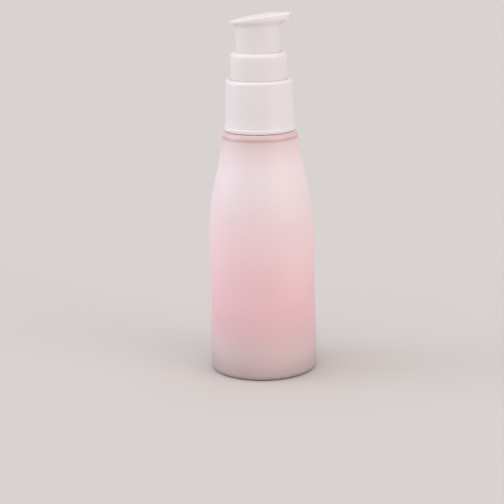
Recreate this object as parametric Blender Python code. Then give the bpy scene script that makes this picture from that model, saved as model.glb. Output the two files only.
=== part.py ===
"""A pump bottle for lotion: a frosted bottle and the screw-on dispensing pump that closes it.

Run it with blender --background --python part.py, or from Blender's text editor.
Sizes are in metres and +Z is up. The origin is on the bottle's axis, on the surface that it stands on,
and the spout points along +X. Every piece is its own object with its origin on the bottle's axis, which
is also the axis of every joint, and the empties carry the pieces that move together.
"""

import math

import bmesh
import bpy
import numpy as np
from mathutils import Matrix, Vector

MM = 0.001

# Clearances between pieces
SEAT_GAP = 0.2 * MM
RUN_GAP = 0.12 * MM
GUIDE_GAP = 0.2 * MM

# Bottle
BASE_RADIUS = 19.15 * MM
WAIST_RADIUS = 18.73 * MM
LAND_RADIUS = 13.6 * MM
TAPER_START = 12.0 * MM
TAPER_HEIGHT = 22.0 * MM
WAIST_HEIGHT = 12.7 * MM
SHOULDER_HEIGHT = 37.0 * MM
SHOULDER_LOWER_REACH = 21.8 * MM
SHOULDER_UPPER_REACH = 15.1 * MM
SHOULDER_LEAN = 1.36 * MM
LAND_HEIGHT = 3.4 * MM
LAND_ROUND = 2.5 * MM
LAND_INSET = 1.7 * MM
LAND_LOWER_REACH = 2.2 * MM
LAND_UPPER_REACH = 1.25 * MM
HEEL_ROUND = 2.1 * MM
FOOT_WIDTH = 1.5 * MM
PUSH_UP_SLOPE = 1.3 * MM
PUSH_UP_STEP = 0.8 * MM
PUSH_UP_CROWN = 0.6 * MM
BOTTLE_WALL = 1.2 * MM
BOTTLE_FLOOR = 1.8 * MM
FLOOR_ROUND = 3.0 * MM
NECK_HEIGHT = 13.2 * MM
NECK_WALL = 2.05 * MM
NECK_EDGE = 0.3 * MM

# Screw thread, the same on the neck and in the collar
THREAD_PITCH = 3.175 * MM
THREAD_DEPTH = 0.75 * MM
THREAD_ROOT_WIDTH = 1.3 * MM
THREAD_CREST_WIDTH = 0.7 * MM
THREAD_BITE = 0.3 * MM
THREAD_CLEARANCE = 0.2 * MM
FLANK_GAP = 0.2 * MM
THREAD_RUN_OUT = 0.125
NECK_THREAD_TURNS = 1.5
NECK_THREAD_DROP = 1.45 * MM
COLLAR_THREAD_TURNS = 1.0

# Pump engine, from the piston outwards
CHAMBER_RADIUS = 3.7 * MM
HOUSING_WALL = 1.1 * MM
STROKE = 6.0 * MM
STEM_RADIUS = 2.0 * MM
STEM_BORE_RADIUS = 1.1 * MM
STEM_STOP_RADIUS = 2.9 * MM
STEM_STOP_HEIGHT = 0.9 * MM
STEM_PORT_RADIUS = 0.45 * MM
PISTON_LENGTH = 5.6 * MM
PISTON_SLIP = 0.8 * MM
PISTON_LIP_GAP = 0.08 * MM
PISTON_LIP_HEIGHT = 1.1 * MM
PISTON_WAIST = 0.45 * MM
PISTON_GRIP = 2.2 * MM
PISTON_RELIEF = 0.45 * MM
VALVE_PLUG_RADIUS = 3.1 * MM
VALVE_PLUG_HEIGHT = 1.3 * MM
VALVE_PLUG_SHANK = 1.6 * MM
VALVE_PLUG_BOSS = 1.5 * MM
VALVE_PLUG_BOSS_GAP = 0.45 * MM
SPRING_WIRE_RADIUS = 0.28 * MM
SPRING_CLEARANCE = 0.35 * MM
SPRING_TURNS = 8
SPRING_SPARE = 1.2 * MM
SPRING_END_GAP = 0.2 * MM
RETAINER_HEIGHT = 1.2 * MM
RETAINER_HOLE_RADIUS = 0.9 * MM
RETAINER_SLOT_WIDTH = 0.9 * MM
RETAINER_RIM = 1.0 * MM
BALL_RADIUS = 1.6 * MM
BALL_LIFT = 0.8 * MM
BALL_SIDE_GAP = 0.5 * MM
INLET_RADIUS = 1.0 * MM
INLET_HEIGHT = 1.0 * MM
VENT_RADIUS = 0.45 * MM
VENT_DROP = 1.0 * MM
DIP_TUBE_RADIUS = 1.9 * MM
DIP_TUBE_WALL = 0.6 * MM
DIP_TUBE_GAP = 0.1 * MM
DIP_SOCKET_DEPTH = 6.0 * MM
DIP_SOCKET_WALL = 1.1 * MM
DIP_FLOOR_GAP = 1.6 * MM
DIP_CUT_ANGLE = math.radians(35)

# The stack of flanges that the collar holds down on the neck
GASKET_HEIGHT = 0.8 * MM
GASKET_INSET = 0.1 * MM
HOUSING_FLANGE_HEIGHT = 1.05 * MM
SLEEVE_FLANGE_HEIGHT = 1.0 * MM
COLLAR_WEB_HEIGHT = 1.2 * MM
COLLAR_RECESS = 0.3 * MM

# Housing cap
HOUSING_RIM_HEIGHT = 1.5 * MM
CAP_TOP_HEIGHT = 1.15 * MM
CAP_PLUG_DEPTH = 4.5 * MM
CAP_WALL = 1.2 * MM
CAP_BEAD = 0.55 * MM
CAP_BEAD_HEIGHT = 0.7 * MM

# Collar
COLLAR_WALL = 2.15 * MM
COLLAR_TAPER = 0.28 * MM
COLLAR_ROUND = 1.2 * MM
COLLAR_LIFT = 0.2 * MM
COLLAR_LIP = 0.3 * MM
COLLAR_LIP_HEIGHT = 1.05 * MM
COLLAR_LIP_BEVEL = 0.35 * MM
COLLAR_FLARE = 0.2 * MM
COLLAR_FLARE_HEIGHT = 3.4 * MM
COLLAR_LEAD_IN = 0.4 * MM

# Guide sleeve
SLEEVE_RELIEF = 0.25 * MM
SLEEVE_NECK_WALL = 0.75 * MM
SLEEVE_STEP = 0.95 * MM
SLEEVE_CATCH = 0.6 * MM
SLEEVE_TAPER = 0.03 * MM
SLEEVE_ROUND = 1.55 * MM
SLEEVE_GUIDE_LAND = 2.2 * MM
SLEEVE_GUIDE_LENGTH = 4.2 * MM
SLEEVE_FLOOR_GAP = 0.6 * MM

# Actuator head
BARREL_WALL = 0.95 * MM
BARREL_GAP = 0.2 * MM
BARREL_CHAMFER = 0.3 * MM
HEAD_LIFT_GAP = 3.33 * MM
BOSS_WALL = 1.1 * MM
BOSS_FLOOR_GAP = 0.8 * MM
SOCKET_INSET = 3.6 * MM
CEILING_RISE = 0.1 * MM
PAD_BACK = 9.95 * MM
PAD_HALF_WIDTH = 8.8 * MM
SPOUT_LENGTH = 11.35 * MM
MOUTH_HALF_WIDTH = 2.5 * MM
MOUTH_FLARE = 0.9 * MM
MOUTH_PULL = 3.2 * MM
SIDE_PULL = 6.2 * MM
PAD_RISE = 2.95 * MM
PAD_SLOPE = math.radians(7.7)
PAD_CROWN = 0.3 * MM
PAD_DISH = 0.35 * MM
PAD_EDGE = 0.3 * MM
FLARE_FILLET = 0.35 * MM
RIM_BACK_HEIGHT = 0.9 * MM
RIM_MOUTH_HEIGHT = 2.4 * MM
CHANNEL_RADIUS = 0.75 * MM
CHANNEL_DROP = 1.8 * MM

# Facets, and the most of a straight side that the rounding of its corner may take
ROUND_SEGMENTS = 48
SMALL_SEGMENTS = 24
HEAD_SEGMENTS = 64
BALL_SEGMENTS = 20
BALL_RINGS = 12
DISH_RINGS = 3
CURVE_STEPS = 30
SHOULDER_STEPS = 10
INNER_SHOULDER_STEPS = 7
LAND_STEPS = 6
SLEEVE_ROUND_STEPS = 4
COIL_SEGMENTS = 12
ROUNDED_SHARE = 0.88
SHARP_ANGLE = math.radians(32)
MERGE = 1e-6

# Radii that follow from the piston outwards
HOUSING_RADIUS = CHAMBER_RADIUS + HOUSING_WALL
CAP_SKIRT_RADIUS = HOUSING_RADIUS + SEAT_GAP + CAP_WALL
CAP_BEAD_RADIUS = CAP_SKIRT_RADIUS + CAP_BEAD
BARREL_BORE_RADIUS = CAP_BEAD_RADIUS + BARREL_GAP
BARREL_RADIUS = BARREL_BORE_RADIUS + BARREL_WALL
SLEEVE_GUIDE_RADIUS = BARREL_RADIUS + GUIDE_GAP
SLEEVE_BORE_RADIUS = SLEEVE_GUIDE_RADIUS + SLEEVE_RELIEF
SLEEVE_NECK_RADIUS = SLEEVE_BORE_RADIUS + SLEEVE_NECK_WALL
SLEEVE_RADIUS = SLEEVE_NECK_RADIUS + SLEEVE_STEP
FLANGE_RADIUS = SLEEVE_NECK_RADIUS + SLEEVE_CATCH
COLLAR_HOLE_RADIUS = SLEEVE_NECK_RADIUS + RUN_GAP
COLLAR_BORE_RADIUS = FLANGE_RADIUS + SEAT_GAP
THREAD_RADIUS = COLLAR_BORE_RADIUS - THREAD_CLEARANCE
NECK_RADIUS = THREAD_RADIUS - THREAD_DEPTH
NECK_BORE_RADIUS = NECK_RADIUS - NECK_WALL
COLLAR_RADIUS = COLLAR_BORE_RADIUS + COLLAR_WALL

# Heights that follow from the floor up, first the bottle and then the stack on its neck
SHOULDER_START = TAPER_START + TAPER_HEIGHT + WAIST_HEIGHT
LAND_START = SHOULDER_START + SHOULDER_HEIGHT
SHOULDER_TOP = LAND_START + LAND_HEIGHT
NECK_TOP = SHOULDER_TOP + NECK_HEIGHT
PUSH_UP_TOP = PUSH_UP_STEP + PUSH_UP_CROWN
FLOOR_TOP = PUSH_UP_TOP + BOTTLE_FLOOR
GASKET_BOTTOM = NECK_TOP + SEAT_GAP
GASKET_TOP = GASKET_BOTTOM + GASKET_HEIGHT
FLANGE_BOTTOM = GASKET_TOP + SEAT_GAP
FLANGE_TOP = FLANGE_BOTTOM + HOUSING_FLANGE_HEIGHT
SLEEVE_BOTTOM = FLANGE_TOP + SEAT_GAP
SLEEVE_FLANGE_TOP = SLEEVE_BOTTOM + SLEEVE_FLANGE_HEIGHT
WEB_BOTTOM = SLEEVE_FLANGE_TOP + SEAT_GAP
COLLAR_TOP = WEB_BOTTOM + COLLAR_WEB_HEIGHT
COLLAR_BOTTOM = SHOULDER_TOP + COLLAR_LIFT
SLEEVE_SHOULDER = COLLAR_TOP - COLLAR_RECESS + SEAT_GAP
RIM_TOP = FLANGE_TOP + HOUSING_RIM_HEIGHT
CAP_GROOVE = RIM_TOP + SEAT_GAP
CAP_TOP = CAP_GROOVE + CAP_TOP_HEIGHT
CAP_BOTTOM = RIM_TOP - CAP_PLUG_DEPTH

# Heights of the head, from the lowest place that the stroke takes it to
BARREL_BOTTOM = SLEEVE_FLANGE_TOP + SLEEVE_FLOOR_GAP + STROKE
SLEEVE_TOP = BARREL_BOTTOM + SLEEVE_GUIDE_LENGTH
CREASE = SLEEVE_TOP + STROKE + HEAD_LIFT_GAP
BOSS_BOTTOM = CAP_TOP + STROKE + BOSS_FLOOR_GAP
STEM_TOP = CREASE - SOCKET_INSET
PAD_CENTRE = CREASE + PAD_RISE

# Heights inside the housing, from its cap down to the dip tube
STEM_STOP_TOP = CAP_BOTTOM - SEAT_GAP
STEM_STOP_BOTTOM = STEM_STOP_TOP - STEM_STOP_HEIGHT
PISTON_TOP = STEM_STOP_BOTTOM - PISTON_SLIP - SEAT_GAP
PISTON_BOTTOM = PISTON_TOP - PISTON_LENGTH
PLUG_TOP = PISTON_BOTTOM - SEAT_GAP
PLUG_BOTTOM = PLUG_TOP - VALVE_PLUG_HEIGHT
SPRING_TOP = PLUG_BOTTOM - SEAT_GAP
SPRING_LENGTH = 2 * SPRING_TURNS * SPRING_WIRE_RADIUS + STROKE + SPRING_SPARE
SPRING_BOTTOM = SPRING_TOP - SPRING_LENGTH
RETAINER_TOP = SPRING_BOTTOM - SEAT_GAP
RETAINER_BOTTOM = RETAINER_TOP - RETAINER_HEIGHT
RETAINER_SEAT = RETAINER_BOTTOM - SEAT_GAP
BALL_CENTRE = RETAINER_BOTTOM - SEAT_GAP - BALL_LIFT - BALL_RADIUS
SEAT_APEX = BALL_CENTRE - (BALL_RADIUS + SEAT_GAP) * math.sqrt(2)
BALL_CHAMBER_RADIUS = BALL_RADIUS + BALL_SIDE_GAP
INLET_TOP = SEAT_APEX + INLET_RADIUS
SOCKET_TOP = INLET_TOP - INLET_HEIGHT
SOCKET_BOTTOM = SOCKET_TOP - DIP_SOCKET_DEPTH
DIP_TUBE_TOP = SOCKET_TOP - SEAT_GAP
DIP_TUBE_BOTTOM = FLOOR_TOP + DIP_FLOOR_GAP


def clear_scene():
    for obj in list(bpy.data.objects):
        bpy.data.objects.remove(obj)


def srgb(red, green, blue):
    """A colour of 0 to 255 values as the linear colour that Blender's sockets take."""
    return [((value / 255 + 0.055) / 1.055) ** 2.4 for value in (red, green, blue)] + [1.0]


def material(name, colour, roughness, metallic=0.0):
    made = bpy.data.materials.new(name)
    made.use_nodes = True
    shader = made.node_tree.nodes["Principled BSDF"]
    shader.inputs["Base Color"].default_value = colour
    shader.inputs["Roughness"].default_value = roughness
    shader.inputs["Metallic"].default_value = metallic
    made.diffuse_color = colour
    made.roughness = roughness
    return made


def empty(name, height, parent):
    """A carrier on the bottle's axis for pieces that move together."""
    carrier = bpy.data.objects.new(name, None)
    carrier.empty_display_size = 5 * MM
    bpy.context.collection.objects.link(carrier)
    carrier.parent = parent
    carrier.location.z = height - parent.matrix_world.translation.z
    bpy.context.view_layer.update()
    return carrier


def piece(name, mesh, height, finish, parent=None):
    """The object of a mesh that was made at its real height, with its origin at height on the axis."""
    bmesh.ops.translate(mesh, verts=mesh.verts, vec=(0, 0, -height))
    data = bpy.data.meshes.new(name)
    mesh.to_mesh(data)
    mesh.free()
    data.shade_smooth()
    data.set_sharp_from_angle(angle=SHARP_ANGLE)
    data.materials.append(finish)
    made = bpy.data.objects.new(name, data)
    bpy.context.collection.objects.link(made)
    made.parent = parent
    made.location.z = height - (parent.matrix_world.translation.z if parent else 0)
    bpy.context.view_layer.update()
    return made


def boolean(target, name, mesh, operation="DIFFERENCE"):
    """Cuts a mesh out of the target or joins it on, and keeps it as a hidden helper that moves with it."""
    height = target.matrix_world.translation.z
    helper = piece(name, mesh, height, target.data.materials[0], target)
    helper.hide_render = True
    helper.display_type = "WIRE"
    modifier = target.modifiers.new(name, "BOOLEAN")
    modifier.operation = operation
    modifier.solver = "EXACT"
    modifier.object = helper


def rounded(corners, steps=3):
    """A closed outline through (radius, height) corners. A third value is the corner's rounding."""
    outline = []
    for index, corner in enumerate(corners):
        here = Vector(corner[:2])
        if len(corner) == 2:
            outline.append(tuple(here))
            continue
        back = Vector(corners[index - 1][:2]) - here
        ahead = Vector(corners[(index + 1) % len(corners)][:2]) - here
        half = back.angle(ahead) / 2
        longest = ROUNDED_SHARE * min(back.length, ahead.length)
        reach = min(corner[2] / math.tan(half), longest)
        radius = reach * math.tan(half)
        middle = (back.normalized() + ahead.normalized()).normalized()
        centre = here + middle * radius / math.sin(half)
        first = (here + back.normalized() * reach - centre).normalized()
        last = (here + ahead.normalized() * reach - centre).normalized()
        outline += [tuple(centre + radius * first.slerp(last, step / steps)) for step in range(steps + 1)]
    return outline


def bezier(start, start_reach, end_reach, end, steps):
    """Points of a cubic curve between two ends, each given with the point that pulls it."""
    points = []
    for step in range(steps + 1):
        t = step / steps
        weights = ((1 - t) ** 3, 3 * t * (1 - t) ** 2, 3 * t**2 * (1 - t), t**3)
        corners = (start, start_reach, end_reach, end)
        points.append(tuple(sum(w * c[axis] for w, c in zip(weights, corners)) for axis in (0, 1)))
    return points


def turned(outline, segments=SMALL_SEGMENTS):
    """The mesh of an outline of (radius, height) points turned round the bottle's axis."""
    mesh = bmesh.new()
    points = [mesh.verts.new((radius, 0, height)) for radius, height in outline]
    pairs = zip(points, points[1:] + points[:1])
    edges = [mesh.edges.new(pair) for pair in pairs if pair[0].co.x > MERGE or pair[1].co.x > MERGE]
    bmesh.ops.spin(mesh, geom=points + edges, cent=(0, 0, 0), axis=(0, 0, 1), angle=math.tau, steps=segments)
    bmesh.ops.remove_doubles(mesh, verts=mesh.verts, dist=MERGE)
    bmesh.ops.recalc_face_normals(mesh, faces=mesh.faces)
    return mesh


def cylinder(radius, bottom, top, segments=SMALL_SEGMENTS):
    return turned([(0, bottom), (radius, bottom), (radius, top), (0, top)], segments)


def skin(mesh, rings):
    """Joins rings of points, each the same way round, with faces."""
    for lower, upper in zip(rings, rings[1:]):
        for index, point in enumerate(lower):
            following = (index + 1) % len(lower)
            mesh.faces.new((point, lower[following], upper[following], upper[index]))


def thread(wall_radius, crest_radius, bottom, turns):
    """A helical rib on a round wall, which starts above +X and runs out to nothing at both ends."""
    mesh = bmesh.new()
    steps = round(turns * ROUND_SEGMENTS)
    run_out = THREAD_RUN_OUT * ROUND_SEGMENTS
    outwards = 1 if crest_radius > wall_radius else -1
    root_radius = wall_radius - outwards * THREAD_BITE
    sections = []
    for step in range(steps + 1):
        turn = step / ROUND_SEGMENTS
        share = min(1, (step + 0.5) / run_out, (steps - step + 0.5) / run_out)
        height = bottom + THREAD_PITCH * turn
        crest = wall_radius + (crest_radius - wall_radius) * share
        corners = (
            (root_radius, -THREAD_ROOT_WIDTH / 2),
            (crest, -THREAD_CREST_WIDTH / 2),
            (crest, THREAD_CREST_WIDTH / 2),
            (root_radius, THREAD_ROOT_WIDTH / 2),
        )
        across = Vector((math.cos(math.tau * turn), math.sin(math.tau * turn), 0))
        sections.append([mesh.verts.new(across * r + Vector((0, 0, height + z))) for r, z in corners])
    skin(mesh, sections)
    mesh.faces.new(sections[0])
    mesh.faces.new(sections[-1])
    bmesh.ops.recalc_face_normals(mesh, faces=mesh.faces)
    return mesh


def shoulder_line(inset, steps):
    """The bottle's side from its waist up to its land, moved inwards by a wall."""
    waist = WAIST_RADIUS - inset
    land = LAND_RADIUS - inset
    return bezier(
        (waist, SHOULDER_START),
        (waist, SHOULDER_START + SHOULDER_LOWER_REACH),
        (land + SHOULDER_LEAN, LAND_START - SHOULDER_UPPER_REACH),
        (land, LAND_START),
        steps,
    )


def land_line():
    """The bottle's side from its land over the rounded step and in under the collar."""
    edge = LAND_RADIUS - LAND_INSET
    return bezier(
        (LAND_RADIUS, LAND_START),
        (LAND_RADIUS, LAND_START + LAND_LOWER_REACH),
        (edge + LAND_UPPER_REACH, SHOULDER_TOP),
        (edge, SHOULDER_TOP),
        LAND_STEPS,
    )


def make_bottle(finish):
    foot_outer = BASE_RADIUS - HEEL_ROUND
    foot_inner = foot_outer - FOOT_WIDTH
    inner_top = SHOULDER_TOP - BOTTLE_WALL
    outline = rounded(
        [
            (0, PUSH_UP_TOP),
            (foot_inner - PUSH_UP_SLOPE, PUSH_UP_STEP),
            (foot_inner, 0),
            (BASE_RADIUS, 0, HEEL_ROUND),
            (BASE_RADIUS, TAPER_START),
            (WAIST_RADIUS, TAPER_START + TAPER_HEIGHT),
        ]
        + shoulder_line(0, SHOULDER_STEPS)
        + land_line()[1:]
        + [
            (NECK_RADIUS, SHOULDER_TOP),
            (NECK_RADIUS, NECK_TOP - NECK_EDGE),
            (NECK_RADIUS - NECK_EDGE, NECK_TOP),
            (NECK_BORE_RADIUS + NECK_EDGE, NECK_TOP),
            (NECK_BORE_RADIUS, NECK_TOP - NECK_EDGE),
            (NECK_BORE_RADIUS, inner_top),
            (LAND_RADIUS - BOTTLE_WALL, inner_top, LAND_ROUND),
        ]
        + shoulder_line(BOTTLE_WALL, INNER_SHOULDER_STEPS)[::-1]
        + [
            (BASE_RADIUS - BOTTLE_WALL, TAPER_START),
            (BASE_RADIUS - BOTTLE_WALL, PUSH_UP_STEP + BOTTLE_FLOOR, FLOOR_ROUND),
            (0, FLOOR_TOP),
        ]
    )
    bottle = piece("bottle", turned(outline, ROUND_SEGMENTS), 0, finish)
    thread_length = NECK_THREAD_TURNS * THREAD_PITCH
    ridge = thread(NECK_RADIUS, THREAD_RADIUS, NECK_TOP - NECK_THREAD_DROP - thread_length, NECK_THREAD_TURNS)
    boolean(bottle, "neck_thread", ridge, "UNION")
    return bottle


def make_collar(finish, pump):
    lip_radius = COLLAR_RADIUS + COLLAR_FLARE + COLLAR_LIP
    lip_top = COLLAR_BOTTOM + COLLAR_LIP_HEIGHT
    flare_foot = lip_top + COLLAR_LIP_BEVEL
    recess_radius = SLEEVE_RADIUS + RUN_GAP
    outline = rounded(
        [
            (lip_radius, COLLAR_BOTTOM),
            (lip_radius, lip_top),
            (COLLAR_RADIUS + COLLAR_FLARE, flare_foot),
            (COLLAR_RADIUS + COLLAR_FLARE / 4, flare_foot + COLLAR_FLARE_HEIGHT / 2),
            (COLLAR_RADIUS, flare_foot + COLLAR_FLARE_HEIGHT),
            (COLLAR_RADIUS - COLLAR_TAPER, COLLAR_TOP, COLLAR_ROUND),
            (recess_radius, COLLAR_TOP),
            (recess_radius, COLLAR_TOP - COLLAR_RECESS),
            (COLLAR_HOLE_RADIUS, COLLAR_TOP - COLLAR_RECESS),
            (COLLAR_HOLE_RADIUS, WEB_BOTTOM),
            (COLLAR_BORE_RADIUS, WEB_BOTTOM),
            (COLLAR_BORE_RADIUS, COLLAR_BOTTOM + COLLAR_LEAD_IN),
            (COLLAR_BORE_RADIUS + COLLAR_LEAD_IN, COLLAR_BOTTOM),
        ]
    )
    collar = piece("collar", turned(outline, ROUND_SEGMENTS), COLLAR_BOTTOM, finish, pump)
    neck_thread_bottom = NECK_TOP - NECK_THREAD_DROP - NECK_THREAD_TURNS * THREAD_PITCH
    flank_width = (THREAD_ROOT_WIDTH + THREAD_CREST_WIDTH) / 2
    bottom = neck_thread_bottom - flank_width - FLANK_GAP
    crest_radius = NECK_RADIUS + THREAD_CLEARANCE
    ridge = thread(COLLAR_BORE_RADIUS, crest_radius, bottom, COLLAR_THREAD_TURNS)
    boolean(collar, "collar_thread", ridge, "UNION")
    return collar


def make_guide_sleeve(finish, pump):
    flange_bore = CAP_SKIRT_RADIUS + RUN_GAP
    outline = rounded(
        [
            (flange_bore, SLEEVE_BOTTOM),
            (FLANGE_RADIUS, SLEEVE_BOTTOM),
            (FLANGE_RADIUS, SLEEVE_FLANGE_TOP),
            (SLEEVE_NECK_RADIUS, SLEEVE_FLANGE_TOP),
            (SLEEVE_NECK_RADIUS, SLEEVE_SHOULDER),
            (SLEEVE_RADIUS, SLEEVE_SHOULDER),
            (SLEEVE_RADIUS - SLEEVE_TAPER, SLEEVE_TOP, SLEEVE_ROUND),
            (SLEEVE_GUIDE_RADIUS, SLEEVE_TOP),
            (SLEEVE_GUIDE_RADIUS, SLEEVE_TOP - SLEEVE_GUIDE_LAND),
            (SLEEVE_BORE_RADIUS, SLEEVE_TOP - SLEEVE_GUIDE_LAND - SLEEVE_RELIEF),
            (SLEEVE_BORE_RADIUS, SLEEVE_FLANGE_TOP),
            (flange_bore, SLEEVE_FLANGE_TOP),
        ],
        SLEEVE_ROUND_STEPS,
    )
    return piece("guide_sleeve", turned(outline, ROUND_SEGMENTS), SLEEVE_BOTTOM, finish, pump)


def make_gasket(finish, pump):
    inner = HOUSING_RADIUS + SEAT_GAP
    outer = NECK_RADIUS - GASKET_INSET
    outline = [(inner, GASKET_BOTTOM), (outer, GASKET_BOTTOM), (outer, GASKET_TOP), (inner, GASKET_TOP)]
    return piece("neck_gasket", turned(outline, ROUND_SEGMENTS), GASKET_BOTTOM, finish, pump)


def make_housing(finish, pump):
    socket_bore = DIP_TUBE_RADIUS + DIP_TUBE_GAP
    socket_radius = socket_bore + DIP_SOCKET_WALL
    seat_top = SEAT_APEX + BALL_CHAMBER_RADIUS
    cone_bottom = SOCKET_TOP + DIP_SOCKET_WALL
    outline = [
        (socket_bore, SOCKET_BOTTOM),
        (socket_radius, SOCKET_BOTTOM),
        (socket_radius, cone_bottom),
        (HOUSING_RADIUS, cone_bottom + HOUSING_RADIUS - socket_radius),
        (HOUSING_RADIUS, FLANGE_BOTTOM),
        (FLANGE_RADIUS, FLANGE_BOTTOM),
        (FLANGE_RADIUS, FLANGE_TOP),
        (HOUSING_RADIUS, FLANGE_TOP),
        (HOUSING_RADIUS, RIM_TOP),
        (CHAMBER_RADIUS, RIM_TOP),
        (CHAMBER_RADIUS, RETAINER_SEAT),
        (BALL_CHAMBER_RADIUS, RETAINER_SEAT),
        (BALL_CHAMBER_RADIUS, seat_top),
        (INLET_RADIUS, INLET_TOP),
        (INLET_RADIUS, SOCKET_TOP),
        (socket_bore, SOCKET_TOP),
    ]
    housing = piece("pump_housing", turned(outline), FLANGE_BOTTOM, finish, pump)
    vent = cylinder(VENT_RADIUS, CHAMBER_RADIUS - HOUSING_WALL, HOUSING_RADIUS + HOUSING_WALL, COIL_SEGMENTS)
    bmesh.ops.rotate(vent, verts=vent.verts, matrix=Matrix.Rotation(math.pi / 2, 3, "Y"))
    bmesh.ops.translate(vent, verts=vent.verts, vec=(0, 0, CAP_BOTTOM - VENT_DROP))
    boolean(housing, "vent_hole", vent)
    return housing


def make_housing_cap(finish, pump):
    bore = STEM_RADIUS + RUN_GAP
    plug_radius = CHAMBER_RADIUS - RUN_GAP
    groove_radius = HOUSING_RADIUS + SEAT_GAP
    bead_bottom = SLEEVE_FLANGE_TOP + SEAT_GAP
    outline = [
        (bore, CAP_BOTTOM),
        (plug_radius, CAP_BOTTOM),
        (plug_radius, CAP_GROOVE),
        (groove_radius, CAP_GROOVE),
        (groove_radius, SLEEVE_BOTTOM),
        (CAP_SKIRT_RADIUS, SLEEVE_BOTTOM),
        (CAP_SKIRT_RADIUS, bead_bottom),
        (CAP_BEAD_RADIUS, bead_bottom),
        (CAP_BEAD_RADIUS, bead_bottom + CAP_BEAD_HEIGHT / 2),
        (CAP_SKIRT_RADIUS, bead_bottom + CAP_BEAD_HEIGHT),
        (CAP_SKIRT_RADIUS, CAP_TOP),
        (bore, CAP_TOP),
    ]
    return piece("housing_cap", turned(outline), CAP_BOTTOM, finish, pump)


def make_stem(finish, plunger):
    outline = [
        (STEM_BORE_RADIUS, PISTON_BOTTOM),
        (STEM_RADIUS, PISTON_BOTTOM),
        (STEM_RADIUS, STEM_STOP_BOTTOM),
        (STEM_STOP_RADIUS, STEM_STOP_BOTTOM),
        (STEM_STOP_RADIUS, STEM_STOP_TOP),
        (STEM_RADIUS, STEM_STOP_TOP),
        (STEM_RADIUS, STEM_TOP),
        (STEM_BORE_RADIUS, STEM_TOP),
    ]
    stem = piece("stem", turned(outline), PISTON_BOTTOM, finish, plunger)
    port = cylinder(STEM_PORT_RADIUS, -2 * STEM_RADIUS, 2 * STEM_RADIUS, COIL_SEGMENTS)
    bmesh.ops.rotate(port, verts=port.verts, matrix=Matrix.Rotation(math.pi / 2, 3, "Y"))
    port_height = PISTON_BOTTOM + VALVE_PLUG_SHANK + 2 * STEM_PORT_RADIUS
    bmesh.ops.translate(port, verts=port.verts, vec=(0, 0, port_height))
    boolean(stem, "side_ports", port)
    return stem


def make_valve_plug(finish, plunger):
    shank_radius = STEM_BORE_RADIUS - RUN_GAP
    coil_inside = CHAMBER_RADIUS - SPRING_CLEARANCE - 2 * SPRING_WIRE_RADIUS
    boss_radius = coil_inside - VALVE_PLUG_BOSS_GAP
    outline = [
        (0, PLUG_BOTTOM - VALVE_PLUG_BOSS),
        (boss_radius, PLUG_BOTTOM - VALVE_PLUG_BOSS),
        (boss_radius, PLUG_BOTTOM),
        (VALVE_PLUG_RADIUS, PLUG_BOTTOM),
        (VALVE_PLUG_RADIUS, PLUG_TOP),
        (shank_radius, PLUG_TOP),
        (shank_radius, PLUG_TOP + VALVE_PLUG_SHANK),
        (0, PLUG_TOP + VALVE_PLUG_SHANK),
    ]
    return piece("valve_plug", turned(outline), PLUG_BOTTOM, finish, plunger)


def make_piston(finish, plunger):
    bore = STEM_RADIUS + RUN_GAP
    relief = bore + PISTON_RELIEF
    lip_radius = CHAMBER_RADIUS - PISTON_LIP_GAP
    waist = lip_radius - PISTON_WAIST
    grip_bottom = PISTON_TOP - PISTON_GRIP
    outline = [
        (relief, PISTON_BOTTOM),
        (lip_radius, PISTON_BOTTOM),
        (lip_radius, PISTON_BOTTOM + PISTON_LIP_HEIGHT),
        (waist, PISTON_BOTTOM + PISTON_LIP_HEIGHT + PISTON_WAIST),
        (waist, PISTON_TOP - PISTON_LIP_HEIGHT - PISTON_WAIST),
        (lip_radius, PISTON_TOP - PISTON_LIP_HEIGHT),
        (lip_radius, PISTON_TOP),
        (bore, PISTON_TOP),
        (bore, grip_bottom),
        (relief, grip_bottom - PISTON_RELIEF),
    ]
    return piece("piston", turned(outline), PISTON_BOTTOM, finish, plunger)


def make_return_spring(finish, pump):
    """A coil of round wire, with its first and last turns closed up to sit flat."""
    coil_radius = CHAMBER_RADIUS - SPRING_CLEARANCE - SPRING_WIRE_RADIUS
    wire = 2 * SPRING_WIRE_RADIUS
    end_rise = wire + SPRING_END_GAP
    open_turns = SPRING_TURNS - 2
    open_rise = (SPRING_LENGTH - wire - 2 * end_rise) / open_turns
    steps = SPRING_TURNS * COIL_SEGMENTS
    curve = bpy.data.curves.new("return_spring", "CURVE")
    curve.dimensions = "3D"
    curve.bevel_depth = SPRING_WIRE_RADIUS
    curve.bevel_resolution = 1
    curve.use_fill_caps = True
    curve.materials.append(finish)
    spline = curve.splines.new("POLY")
    spline.points.add(steps)
    for step, point in enumerate(spline.points):
        turn = step / COIL_SEGMENTS
        in_first = min(turn, 1)
        in_last = max(turn - (SPRING_TURNS - 1), 0)
        rise = (in_first + in_last) * end_rise + (turn - in_first - in_last) * open_rise
        angle = math.tau * turn
        across = coil_radius * math.cos(angle)
        along = coil_radius * math.sin(angle)
        point.co = (across, along, SPRING_WIRE_RADIUS + rise, 1)
    spring = bpy.data.objects.new("return_spring", curve)
    bpy.context.collection.objects.link(spring)
    spring.parent = pump
    spring.location.z = SPRING_BOTTOM - pump.matrix_world.translation.z
    return spring


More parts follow.
